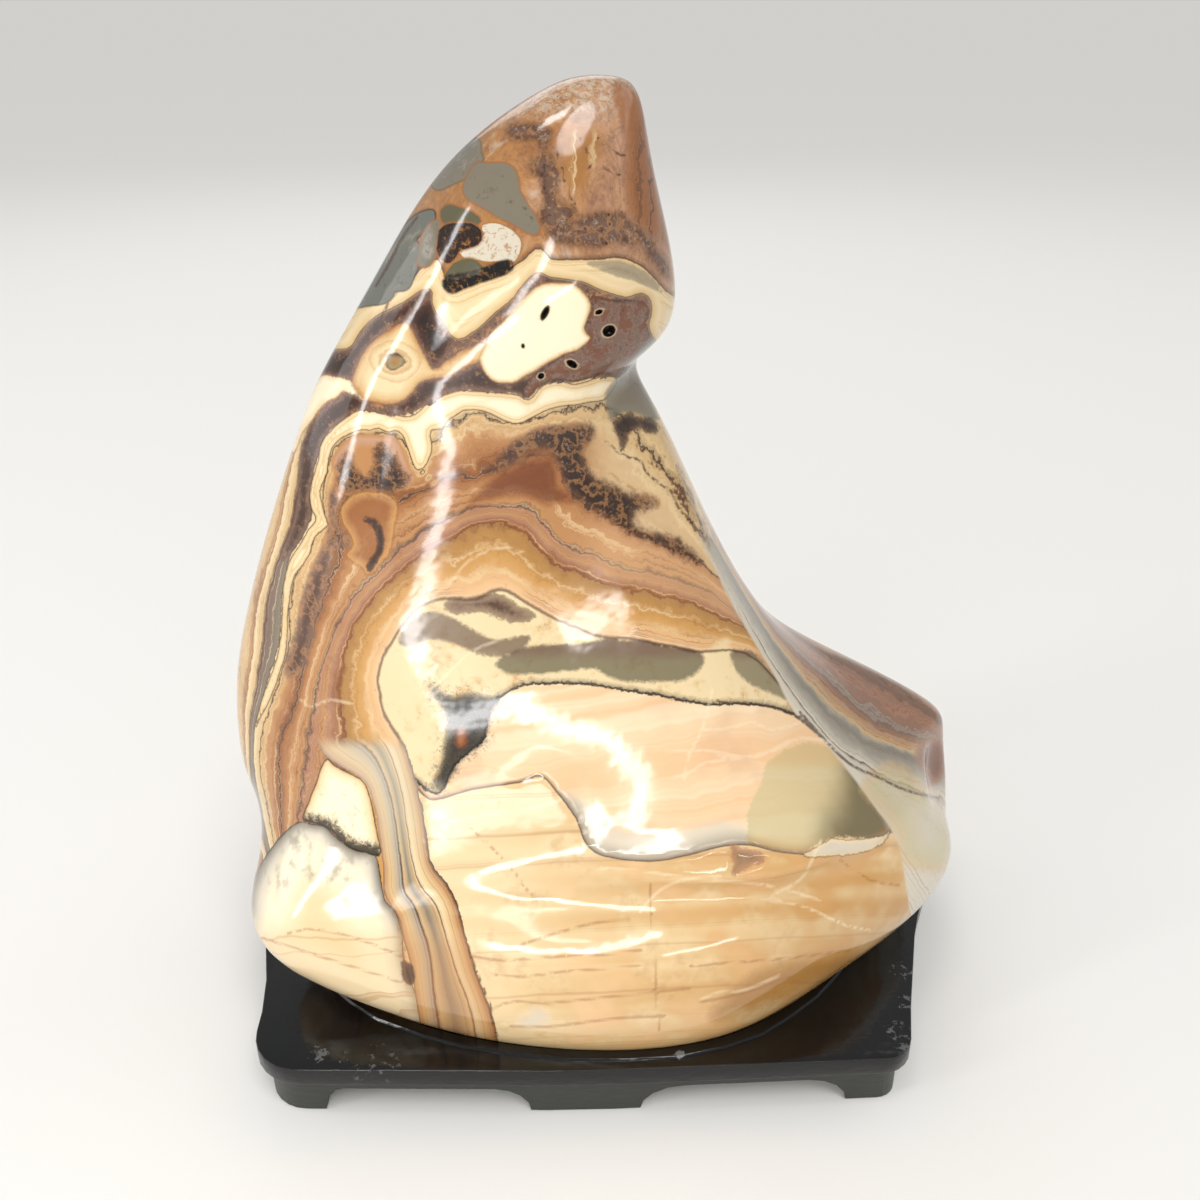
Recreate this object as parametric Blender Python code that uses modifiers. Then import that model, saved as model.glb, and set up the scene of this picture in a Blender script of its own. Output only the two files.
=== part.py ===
"""Scholars rock: one polished banded stone standing in the socket of a black lacquered board.

Sizes below are in millimetres, +X to the right, +Y away from the front, +Z up.
"""
import bpy
import bmesh
import math
from mathutils import Vector

MM = 0.001

# Driving dimensions of the stand
BOARD_TOP = 24.3          # top face of the board above the floor
NOSE_THICKNESS = 7.5      # the glossy rounded edge round the board
NOSE_ROUND = 2.6
APRON_SETBACK = 4.0       # the apron stands this far in from the nose
ARCH_HEIGHT = 10.8        # clear height between the feet
FOOT_CHAMFER = 0.8
SOCKET_GAP = 0.35         # clearance between the stone and its socket
LIP_HEIGHT = 1.0          # low bead of lacquer round the socket
LIP_REACH = 3.0
LIP_ROUND = 0.8
INNER_OVERLAP = 3.0       # how far the apron and the bead run into the nose to be joined to it
CUTTER_REACH = 200.0      # half the length of the bars that cut the arches
CUTTER_DROP = 5.0         # how far those bars reach below the floor

# Outline of the nose seen from above: x, y and the radius that rounds the corner
STAND_OUTLINE = [
    (-125, -80.5, 19),
    (-8, -83.5, 400),
    (108.5, -79.5, 12),
    (114.5, -55, 60),
    (127, -12, 90),
    (143, 24, 60),
    (148, 62, 22),
    (-141, 62, 24),
    (-141, 20, 60),
    (-132, -20, 80),
    (-126, -45, 80),
]

# Front arches, left to right: where each meets the floor, and how far its ends run in
FRONT_ARCHES = [
    (-100, -26, 7, 13),
    (13, 88, 16, 14),
]
# The arch under each side runs from front to back
SIDE_ARCH = (-56, 34, 12, 12)

# Driving dimensions of the stone
SEAT_DEPTH = 4.3          # how far the flat seat is sunk below the top of the board
STONE_SMOOTHING = 2       # subdivision levels of the stone's cage
RIDGE_SHARPNESS = 0.9
LEDGE_SHARPNESS = 1.0

# Names of the ribs that run up the stone, from its left edge round the front, right and back
RIBS = [
    "left flank", "toe side", "toe front", "ribbon fold",
    "belly left", "belly middle", "belly right", "leaf tip",
    "ridge", "valley", "fold", "wing edge",
    "wing back", "back", "back left",
]
RIDGE = RIBS.index("ridge")
LEDGE_START = RIBS.index("belly middle")
LEDGE_END = RIBS.index("leaf tip")

# Level lines of the stone, from the seat to the crown: a height, then x and y on each rib.
# A third value lifts that rib above the level line or drops it below.
LEVELS = {
    "seat": (BOARD_TOP - SEAT_DEPTH, [
        (-95, -6), (-96, -28), (-84, -45), (-59, -60),
        (-28, -69), (8, -73), (40, -67), (62, -54),
        (82, -38), (94, -16), (100, 8), (88, 32),
        (18, 45), (-30, 44), (-76, 24)]),
    "waterline": (27, [
        (-102, -6), (-107, -32), (-93, -50), (-66, -66),
        (-30, -75), (8, -78), (43, -74), (67, -60),
        (88, -40), (103, -17), (108, 8), (96, 34),
        (20, 48), (-34, 47), (-84, 26)]),
    "lower belly": (43, [
        (-113, 4), (-134, -31), (-117, -58), (-76, -71),
        (-36, -80), (6, -85), (46, -79), (78, -63),
        (108, -41), (134, -15), (144, 12), (136, 42),
        (34, 58), (-40, 57), (-102, 34)]),
    "belly": (60, [
        (-120, 8), (-139, -31), (-120, -63), (-80, -65),
        (-38, -79), (6, -86), (46, -81), (84, -66),
        (121, -43), (147, -7), (142, 20), (162, 48),
        (64, 68), (-30, 66), (-112, 42)]),
    "toe top": (77, [
        (-134, 10), (-126, -22), (-112, -58), (-80, -61),
        (-40, -74), (4, -82), (46, -78), (86, -62),
        (120, -40), (131, -6), (126, 24), (166, 50),
        (72, 74), (-28, 72), (-119, 48)]),
    "under ledge": (89, [
        (-141, 10), (-127, -13), (-109, -40), (-80, -56),
        (-43, -67), (0, -67), (46, -64), (86, -51),
        (113, -38), (128, -5), (129, 24), (163, 50),
        (76, 76), (-28, 75), (-121, 50)]),
    "ledge": (96, [
        (-143, 10), (-131, -12), (-113, -33), (-83, -52),
        (-45, -65), (0, -72, 3), (46, -73), (87, -61),
        (104, -42), (124, -4), (131, 24), (153, 50),
        (74, 76), (-30, 76), (-121, 52)]),
    "leaf": (115, [
        (-142, 8), (-132, -10), (-115, -26), (-86, -42),
        (-46, -56), (0, -66), (46, -63), (73, -52),
        (89, -33), (103, 2), (107, 26), (116, 46),
        (60, 72), (-34, 76), (-120, 52)]),
    "leaf top": (136, [
        (-139, 7), (-130, -10), (-113, -24), (-86, -38),
        (-48, -47), (-2, -53), (34, -49), (56, -41),
        (70, -26), (80, 5), (76, 26), (73, 40),
        (38, 64), (-36, 72), (-114, 50)]),
    "arch": (157, [
        (-133, 6), (-125, -12), (-108, -26), (-81, -39),
        (-48, -44), (-6, -43), (23, -38), (41, -31),
        (54, -19), (60, 7), (55, 24), (50, 38),
        (20, 58), (-36, 66), (-106, 46)]),
    "upper arch": (193, [
        (-120, 4), (-113, -12), (-97, -27), (-72, -37),
        (-44, -38), (-13, -33), (10, -28), (25, -21),
        (36, -11), (39, 10), (36, 22), (30, 33),
        (3, 49), (-38, 55), (-92, 38)]),
    "neck": (236, [
        (-102, 2), (-95, -12), (-80, -26), (-60, -32),
        (-38, -32), (-17, -28), (-3, -20), (8, -11),
        (18, -3), (21, 11), (17, 20), (8, 28),
        (-10, 39), (-38, 43), (-76, 29)]),
    "throat": (250, [
        (-94, 2), (-88, -12), (-76, -25), (-57, -31),
        (-37, -32), (-17, -29), (-4, -22), (2, -8),
        (3, 4), (7, 13), (9, 20), (4, 27),
        (-10, 37), (-37, 41), (-71, 27)]),
    "chin": (261, [
        (-86, 1), (-82, -12), (-71, -24), (-53, -32),
        (-33, -35), (-12, -34), (5, -28), (18, -17),
        (26, -4), (27, 9), (23, 18), (11, 26),
        (-9, 35), (-34, 38), (-65, 25)]),
    "brow": (286, [
        (-69, 1), (-66, -12), (-57, -24), (-43, -32),
        (-25, -36), (-6, -34), (10, -26), (20, -14),
        (24, -1), (24, 9), (19, 18), (10, 25),
        (-7, 32), (-28, 33), (-51, 21)]),
    "temple": (317, [
        (-49, 2), (-46, -8), (-39, -18), (-29, -23),
        (-15, -24), (-3, -22), (6, -17), (12, -9),
        (15, 1), (14, 8), (11, 15), (4, 20),
        (-8, 24), (-22, 23), (-37, 14)]),
    "crown": (337, [
        (-15, 1), (-13, -3), (-11, -6), (-8, -8),
        (-4, -9), (0, -8), (6, -7), (11, -4),
        (13, 1), (12, 5), (8, 8), (2, 9),
        (-2, 10), (-7, 9), (-11, 5)]),
}
CROWN_LIFT = 2


def clear_scene():
    for item in list(bpy.data.objects):
        bpy.data.objects.remove(item, do_unlink=True)


def new_collection(name):
    collection = bpy.data.collections.new(name)
    bpy.context.scene.collection.children.link(collection)
    return collection


def plain_material(name, colour, roughness, metallic=0.0):
    material = bpy.data.materials.new(name)
    material.use_nodes = True
    shader = material.node_tree.nodes["Principled BSDF"]
    shader.inputs["Base Color"].default_value = (*colour, 1.0)
    shader.inputs["Roughness"].default_value = roughness
    shader.inputs["Metallic"].default_value = metallic
    return material


def add_object(name, mesh, collection):
    item = bpy.data.objects.new(name, mesh)
    collection.objects.link(item)
    return item


def mark_as_cutter(item):
    item.hide_render = True
    item.display_type = 'WIRE'


def rounded_outline(corners, inset=0.0, steps=6):
    """Points of a closed outline whose corners are arcs; the inset moves every side inwards."""
    count = len(corners)
    places = [Vector((x, y)) for x, y, _ in corners]
    sides = []
    for index in range(count):
        along = (places[(index + 1) % count] - places[index]).normalized()
        inwards = Vector((-along.y, along.x))
        sides.append((places[index] + inwards * inset, along))
    outline = []
    for index, (_, _, radius) in enumerate(corners):
        start, before = sides[index - 1]
        end, after = sides[index]
        turn = before.x * after.y - before.y * after.x
        reach = ((end - start).x * after.y - (end - start).y * after.x) / turn
        corner = start + before * reach
        angle = math.asin(max(-1.0, min(1.0, turn)))
        radius = max(radius - inset, 1.0)
        cut = radius * math.tan(abs(angle) / 2)
        side = 1 if angle > 0 else -1
        first = corner - before * cut
        centre = first + Vector((-before.y, before.x)) * radius * side
        parts = max(1, round(steps * abs(angle) / (math.pi / 2)))
        for step in range(parts + 1):
            swing = angle * step / parts
            arm = first - centre
            outline.append(centre + Vector((
                arm.x * math.cos(swing) - arm.y * math.sin(swing),
                arm.x * math.sin(swing) + arm.y * math.cos(swing))))
    return outline


def flat_plate(name, outline, low, high, collection):
    """A closed plate from an outline in the XY plane, as a mesh."""
    curve = bpy.data.curves.new(name, 'CURVE')
    curve.dimensions = '2D'
    curve.fill_mode = 'BOTH'
    curve.extrude = (high - low) / 2 * MM
    spline = curve.splines.new('POLY')
    spline.points.add(len(outline) - 1)
    for point, place in zip(spline.points, outline):
        point.co = (place[0] * MM, place[1] * MM, 0, 1)
    spline.use_cyclic_u = True
    guide = add_object(name + "_outline", curve, collection)
    guide.location.z = (low + high) / 2 * MM
    return curve_to_mesh(guide, name, collection)


def curve_to_mesh(guide, name, collection):
    bpy.context.view_layer.update()
    graph = bpy.context.evaluated_depsgraph_get()
    mesh = bpy.data.meshes.new_from_object(guide.evaluated_get(graph))
    welded = bmesh.new()
    welded.from_mesh(mesh)
    bmesh.ops.remove_doubles(welded, verts=welded.verts, dist=1e-6)
    bmesh.ops.recalc_face_normals(welded, faces=welded.faces)
    welded.to_mesh(mesh)
    welded.free()
    item = add_object(name, mesh, collection)
    item.matrix_world = guide.matrix_world
    bpy.data.objects.remove(guide, do_unlink=True)
    return item


def bake_modifiers(item):
    """Keep the object's evaluated mesh and drop its modifiers."""
    bpy.context.view_layer.update()
    graph = bpy.context.evaluated_depsgraph_get()
    mesh = bpy.data.meshes.new_from_object(item.evaluated_get(graph))
    item.modifiers.clear()
    item.data = mesh


def ease_edges(item, width, segments):
    """Round the edges between faces that meet at a steep angle."""
    easing = item.modifiers.new("Eased edges", 'BEVEL')
    easing.width = width * MM
    easing.segments = segments
    easing.limit_method = 'ANGLE'
    easing.angle_limit = math.radians(60)
    bake_modifiers(item)


def combine(item, other, operation):
    cut = item.modifiers.new(operation.title(), 'BOOLEAN')
    cut.operation = operation
    cut.object = other
    cut.solver = 'EXACT'


def stone_cage():
    """The coarse cage: one ring of corners for each level, closed by a flat seat and a crown."""
    cage = bmesh.new()
    rings = []
    for height, corners in LEVELS.values():
        ring = []
        for x, y, *lift in corners:
            rise = lift[0] if lift else 0
            ring.append(cage.verts.new((x * MM, y * MM, (height + rise) * MM)))
        rings.append(ring)
    count = len(RIBS)
    for below, above in zip(rings, rings[1:]):
        for rib in range(count):
            following = (rib + 1) % count
            cage.faces.new((below[rib], below[following], above[following], above[rib]))
    cage.faces.new(list(reversed(rings[0])))
    crown = rings[-1]
    middle = sum((corner.co for corner in crown), Vector()) / count
    tip = cage.verts.new(middle + Vector((0, 0, CROWN_LIFT * MM)))
    for rib in range(count):
        cage.faces.new((crown[rib], crown[(rib + 1) % count], tip))
    sharpen(cage, rings)
    bmesh.ops.recalc_face_normals(cage, faces=cage.faces)
    return cage


def sharpen(cage, rings):
    """Crease the seat's rim, the long ridge and the ledge under the leaf."""
    crease = cage.edges.layers.float.new("crease_edge")
    names = list(LEVELS)

    def set_crease(first, second, amount):
        cage.edges.get((first, second))[crease] = amount

    seat = rings[0]
    for rib, corner in enumerate(seat):
        set_crease(corner, seat[(rib + 1) % len(seat)], 1.0)
    ridge_start = names.index("ledge")
    ridge_end = names.index("neck")
    for level in range(ridge_start, ridge_end):
        set_crease(rings[level][RIDGE], rings[level + 1][RIDGE], RIDGE_SHARPNESS)
    ledge = rings[names.index("ledge")]
    for rib in range(LEDGE_START, LEDGE_END):
        set_crease(ledge[rib], ledge[rib + 1], LEDGE_SHARPNESS)


def build_stone(collection):
    cage = stone_cage()
    mesh = bpy.data.meshes.new("stone")
    cage.to_mesh(mesh)
    cage.free()
    stone = add_object("stone", mesh, collection)
    smooth = stone.modifiers.new("Polished form", 'SUBSURF')
    smooth.levels = STONE_SMOOTHING
    smooth.render_levels = STONE_SMOOTHING
    mesh.shade_smooth()
    mesh.materials.append(plain_material("banded_stone", (0.62, 0.36, 0.17), 0.12))
    return stone


def grown_copy(item, gap, name, collection):
    """A copy of the evaluated object, pushed outwards by the gap, to cut its neighbour."""
    bpy.context.view_layer.update()
    graph = bpy.context.evaluated_depsgraph_get()
    mesh = bpy.data.meshes.new_from_object(item.evaluated_get(graph))
    copy = add_object(name, mesh, collection)
    grow = copy.modifiers.new("Gap", 'DISPLACE')
    grow.mid_level = 0.0
    grow.strength = gap * MM
    bake_modifiers(copy)
    mark_as_cutter(copy)
    return copy


def arch_profile(left, right, left_run, right_run, height, steps=4):
    """Flat-topped arch with a quarter of an ellipse at each end, reaching below the floor."""
    points = [(left, -CUTTER_DROP)]
    for step in range(steps + 1):
        swing = math.pi / 2 * step / steps
        points.append((left + left_run * (1 - math.cos(swing)), height * math.sin(swing)))
    for step in range(steps + 1):
        swing = math.pi / 2 * (1 - step / steps)
        points.append((right - right_run * (1 - math.cos(swing)), height * math.sin(swing)))
    points.append((right, -CUTTER_DROP))
    return points


def arch_cutter(name, arch, turn, collection):
    """A long bar with the arch's profile, lying along Y, or along X when it is turned."""
    profile = arch_profile(*arch, ARCH_HEIGHT)
    bar = flat_plate(name, profile, -CUTTER_REACH, CUTTER_REACH, collection)
    bar.rotation_euler = (math.pi / 2, 0, turn)
    mark_as_cutter(bar)
    return bar


def lip_outline():
    """The stone's line at the top of the board, moved outwards for the bead round the socket."""
    corners = [Vector((x, y)) for x, y, *_ in LEVELS["waterline"][1]]
    centre = sum(corners, Vector((0, 0))) / len(corners)
    pushed = [c + (c - centre).normalized() * LIP_REACH for c in corners]
    smooth = []
    for index, corner in enumerate(pushed):
        before = pushed[index - 1]
        after = pushed[(index + 1) % len(pushed)]
        smooth.append((before + corner * 4 + after) / 6)
        smooth.append((corner + after) / 2)
    return smooth


def build_stand(stone, collection, cutters):
    nose_low = BOARD_TOP - NOSE_THICKNESS
    stand = flat_plate("stand", rounded_outline(STAND_OUTLINE), nose_low, BOARD_TOP, collection)
    ease_edges(stand, NOSE_ROUND, 2)

    inner = rounded_outline(STAND_OUTLINE, APRON_SETBACK)
    apron = flat_plate("apron", inner, 0, nose_low + INNER_OVERLAP, cutters)
    ease_edges(apron, FOOT_CHAMFER, 1)
    mark_as_cutter(apron)

    lip_low = BOARD_TOP - INNER_OVERLAP
    lip = flat_plate("lip", lip_outline(), lip_low, BOARD_TOP + LIP_HEIGHT, cutters)
    ease_edges(lip, LIP_ROUND, 1)
    mark_as_cutter(lip)

    combine(stand, apron, 'UNION')
    combine(stand, lip, 'UNION')
    for number, arch in enumerate(FRONT_ARCHES, 1):
        combine(stand, arch_cutter(f"front_arch_{number}", arch, 0, cutters), 'DIFFERENCE')
    side = arch_cutter("side_arch", SIDE_ARCH, math.pi / 2, cutters)
    combine(stand, side, 'DIFFERENCE')
    socket = grown_copy(stone, SOCKET_GAP, "socket", cutters)
    combine(stand, socket, 'DIFFERENCE')
    stand.data.materials.append(plain_material("black_lacquer", (0.012, 0.013, 0.015), 0.16))
    return stand


def centre_on_floor(items):
    """Shift the whole object so that the middle of its box is over the origin."""
    bpy.context.view_layer.update()
    graph = bpy.context.evaluated_depsgraph_get()
    corners = []
    for item in items:
        shape = item.evaluated_get(graph)
        corners += [item.matrix_world @ vertex.co for vertex in shape.data.vertices]
    middle_x = (min(c.x for c in corners) + max(c.x for c in corners)) / 2
    middle_y = (min(c.y for c in corners) + max(c.y for c in corners)) / 2
    for item in bpy.data.objects:
        item.location.x -= middle_x
        item.location.y -= middle_y


clear_scene()
parts = new_collection("scholars_rock")
helpers = new_collection("cutters")
rock = build_stone(parts)
base = build_stand(rock, parts, helpers)
centre_on_floor([rock, base])
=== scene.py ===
import math
import bmesh
import bpy
import numpy as np
from mathutils import Euler, Matrix, Vector
from mathutils.bvhtree import BVHTree


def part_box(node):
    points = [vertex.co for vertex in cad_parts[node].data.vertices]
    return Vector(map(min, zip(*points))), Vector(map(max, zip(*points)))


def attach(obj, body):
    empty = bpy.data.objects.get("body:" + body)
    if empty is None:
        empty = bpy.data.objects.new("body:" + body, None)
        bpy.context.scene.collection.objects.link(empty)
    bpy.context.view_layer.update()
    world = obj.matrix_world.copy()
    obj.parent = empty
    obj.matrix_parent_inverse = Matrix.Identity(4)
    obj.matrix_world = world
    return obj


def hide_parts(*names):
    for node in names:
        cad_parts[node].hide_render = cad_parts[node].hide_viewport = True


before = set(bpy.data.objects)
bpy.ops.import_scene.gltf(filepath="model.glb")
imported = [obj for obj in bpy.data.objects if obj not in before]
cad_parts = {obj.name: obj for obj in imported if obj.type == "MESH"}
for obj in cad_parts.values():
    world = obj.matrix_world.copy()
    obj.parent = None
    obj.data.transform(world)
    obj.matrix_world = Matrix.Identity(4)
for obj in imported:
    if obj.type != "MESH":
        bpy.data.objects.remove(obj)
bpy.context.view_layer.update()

# The place from which the markings were drawn. The camera stands there too.
# Distances are metres from the left front corner of the stand's box.
viewPlace = {
    "right": 0.13384,
    "back": -0.3018,
    "height": 0.358,
    "pitch": 26.508,
    "yaw": -1.07,
    "focal": 1203.0,      # in picture units, for a square picture
    "picture": 1200.0,
    "sensor": 36.0,
}


def srgb(code):  # "c8a070" as linear red, green and blue
    parts = [int(code[i:i + 2], 16) / 255 for i in (0, 2, 4)]
    return [p / 12.92 if p < 0.04045 else ((p + 0.055) / 1.055) ** 2.4 for p in parts]


class Wire:  # an output socket, so that shader maths reads as plain sums
    def __init__(self, graph, socket):
        self.graph = graph
        self.socket = socket

    def __add__(self, other):
        return self.graph.maths("ADD", self, other)

    def __radd__(self, other):
        return self.graph.maths("ADD", other, self)

    def __sub__(self, other):
        return self.graph.maths("SUBTRACT", self, other)

    def __rsub__(self, other):
        return self.graph.maths("SUBTRACT", other, self)

    def __mul__(self, other):
        return self.graph.maths("MULTIPLY", self, other)

    def __rmul__(self, other):
        return self.graph.maths("MULTIPLY", other, self)

    def __truediv__(self, other):
        return self.graph.maths("DIVIDE", self, other)

    def sister(self, name):  # another output of the same node
        return Wire(self.graph, self.socket.node.outputs[name])


class Graph:  # one material and the few ways in which nodes are added to it
    def __init__(self, name):
        self.material = bpy.data.materials.new(name)
        self.material.use_nodes = True
        self.tree = self.material.node_tree
        self.shader = self.tree.nodes["Principled BSDF"]
        self.named = {}

    def feed(self, socket, value):
        if isinstance(value, Wire):
            self.tree.links.new(value.socket, socket)
        elif isinstance(value, str):
            socket.default_value = (*srgb(value), 1.0)
        else:
            socket.default_value = value

    def node(self, kind, settings=None, sockets=None, out=0):
        made = self.tree.nodes.new("ShaderNode" + kind)
        for key, value in (settings or {}).items():
            if key == "stops":
                self.setStops(made.color_ramp, value)
            else:
                setattr(made, key, value)
        for key, value in (sockets or {}).items():
            self.feed(made.inputs[key], value)
        return Wire(self, made.outputs[out])

    def setStops(self, ramp, stops):
        while len(ramp.elements) > 1:
            ramp.elements.remove(ramp.elements[-1])
        for count, (place, code, cover) in enumerate(stops):
            element = ramp.elements[0] if count == 0 else ramp.elements.new(place)
            element.position = place
            element.color = (*srgb(code), cover)

    def maths(self, operation, first, second=0.0):
        return self.node("Math", {"operation": operation}, {0: first, 1: second})

    def step(self, value, low, high):  # 0 below low, 1 above high, smooth between
        settings = {"interpolation_type": "SMOOTHSTEP", "clamp": False}
        return self.node("MapRange", settings, {0: value, 1: low, 2: high, 3: 0.0, 4: 1.0})

    def blend(self, base, over, cover):
        return self.node("Mix", {"data_type": "RGBA"}, {0: cover, 6: base, 7: over}, out=2)

    def field(self, name):  # a number kept on the mesh
        if name not in self.named:
            self.named[name] = self.node("Attribute", {"attribute_name": name}, out=2)
        return self.named[name]

    def place(self):
        if "place" not in self.named:
            self.named["place"] = self.node("TexCoord", out=3)
        return self.named["place"]

    def noise(self, scale, detail=2.0, rough=0.5, twist=0.0, stretch=None):
        where = self.place()
        if stretch:
            where = self.node("Mapping", None, {0: where, 3: stretch})
        sockets = {"Vector": where, "Scale": scale, "Detail": detail,
                   "Roughness": rough, "Distortion": twist}
        return self.node("TexNoise", {"noise_dimensions": "3D"}, sockets)

    def bandNoise(self, along, scale, detail=3.0, rough=0.6):  # stripes across one number
        sockets = {"W": along, "Scale": scale, "Detail": detail, "Roughness": rough}
        return self.node("TexNoise", {"noise_dimensions": "1D"}, sockets)


# Guide lines of the markings, as points (across, down) of the picture from viewPlace.
# A line in openLines divides the stone in two: its field is below zero on the line's left hand.
openLines = {
    "headLine": [
        (330, 330), (364, 303), (382, 301), (392, 296), (396, 289), (408, 287), (414, 276),
        (421, 268), (431, 262), (436, 257), (441, 264), (445, 276), (452, 291), (463, 288),
        (480, 281), (495, 276), (508, 270), (516, 264), (524, 259), (531, 252), (538, 247),
        (546, 253), (553, 259), (575, 259), (600, 259), (616, 257), (630, 260), (645, 268),
        (656, 279), (668, 292), (700, 310)],
    "creamOneLow": [
        (300, 362), (333, 351), (345, 350), (353, 346), (360, 334), (368, 324), (378, 316),
        (390, 310), (404, 303), (413, 297), (424, 290), (431, 291), (431, 302), (437, 316),
        (445, 327), (450, 336), (458, 340), (466, 338), (476, 331), (488, 321), (498, 311),
        (512, 301), (520, 290), (528, 281), (538, 273), (550, 278), (565, 280), (584, 283),
        (598, 290), (612, 295), (628, 298), (640, 294), (648, 298), (651, 310), (648, 325),
        (652, 337), (664, 352)],
    "lipLine": [
        (411, 777), (430, 800), (470, 790), (520, 782), (541, 776), (557, 792), (576, 818),
        (586, 843), (605, 856), (653, 861), (691, 854), (723, 846), (749, 845), (771, 850),
        (800, 854), (851, 853), (876, 846), (892, 832), (930, 845), (960, 850)],
    "leafTop": [
        (411, 777), (438, 795), (455, 765), (478, 745), (486, 735), (489, 712), (500, 698),
        (525, 685), (550, 684), (580, 684), (610, 688), (634, 692), (656, 695), (679, 700),
        (710, 705), (730, 704), (755, 705), (775, 708), (797, 717), (815, 730), (840, 748)],
    "ridgeLine": [
        (605, 392), (640, 400), (668, 470), (688, 519), (711, 560), (728, 597), (751, 637),
        (774, 674), (794, 712), (820, 737), (851, 775), (874, 806), (890, 828), (900, 850),
        (905, 880)],
}

# A stack of lines from the outside of the left flank to the inside of the arch. Between two
# neighbours the field "strata" runs evenly from the one's number to the next.
strataLines = {
    -4: [(236, 900), (240, 830), (238, 760), (236, 700), (238, 640), (246, 590), (262, 540),
         (276, 490), (290, 450), (304, 410), (320, 370), (345, 320), (370, 280)],
    -3: [(262, 850), (252, 810), (247, 765), (245, 720), (248, 690), (254, 645), (259, 600),
         (270, 560), (281, 520), (287, 485), (297, 445), (312, 412), (330, 385), (360, 340),
         (385, 300)],
    -2: [(266, 850), (256, 805), (250, 765), (250, 722), (257, 682), (264, 640), (268, 600),
         (278, 560), (290, 530), (297, 505), (299, 480), (303, 450), (318, 418), (332, 402),
         (362, 380), (400, 330)],
    -1: [(270, 850), (261, 805), (254, 765), (256, 722), (268, 682), (279, 645), (282, 605),
         (289, 562), (304, 534), (312, 512), (311, 485), (318, 455), (326, 436), (344, 419),
         (364, 409), (402, 416), (450, 393), (505, 393), (560, 381), (618, 379), (680, 400)],
    0: [(275, 850), (267, 810), (259, 765), (264, 722), (276, 690), (287, 650), (289, 605),
        (296, 572), (311, 542), (325, 520), (323, 490), (330, 458), (345, 438), (378, 431),
        (402, 440), (418, 468), (432, 440), (470, 412), (513, 424), (550, 410), (604, 404),
        (650, 450), (690, 518)],
    1: [(283, 850), (280, 800), (279, 765), (283, 735), (295, 708), (301, 680), (308, 650),
        (318, 620), (328, 592), (334, 570), (340, 545), (338, 515), (350, 496), (375, 490),
        (400, 500), (440, 482), (485, 476), (515, 466), (540, 456), (560, 466), (566, 484),
        (580, 499), (600, 513), (628, 531), (666, 546), (708, 568), (740, 600)],
    2: [(296, 850), (300, 800), (306, 760), (311, 720), (318, 678), (328, 650), (335, 630),
        (345, 612), (356, 596), (370, 578), (388, 562), (408, 546), (430, 530), (450, 518),
        (478, 508), (500, 507), (522, 508), (538, 517), (548, 528), (560, 541), (578, 550),
        (600, 556), (618, 567), (650, 572), (680, 582), (710, 592), (750, 622)],
    3: [(340, 860), (343, 800), (343, 740), (340, 695), (343, 660), (352, 630), (364, 610),
        (380, 590), (401, 570), (425, 553), (448, 540), (470, 527), (495, 522), (520, 528),
        (540, 550), (560, 567), (585, 573), (605, 584), (640, 590), (675, 598), (705, 609),
        (740, 626)],
    4: [(430, 860), (411, 777), (402, 742), (386, 717), (379, 688), (379, 669), (389, 647),
        (411, 615), (430, 603), (450, 599), (475, 600), (500, 590), (522, 600), (548, 616),
        (575, 628), (598, 636), (640, 641), (670, 647), (700, 652), (745, 652), (775, 680)],
}

print("guide lines ready")

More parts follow.
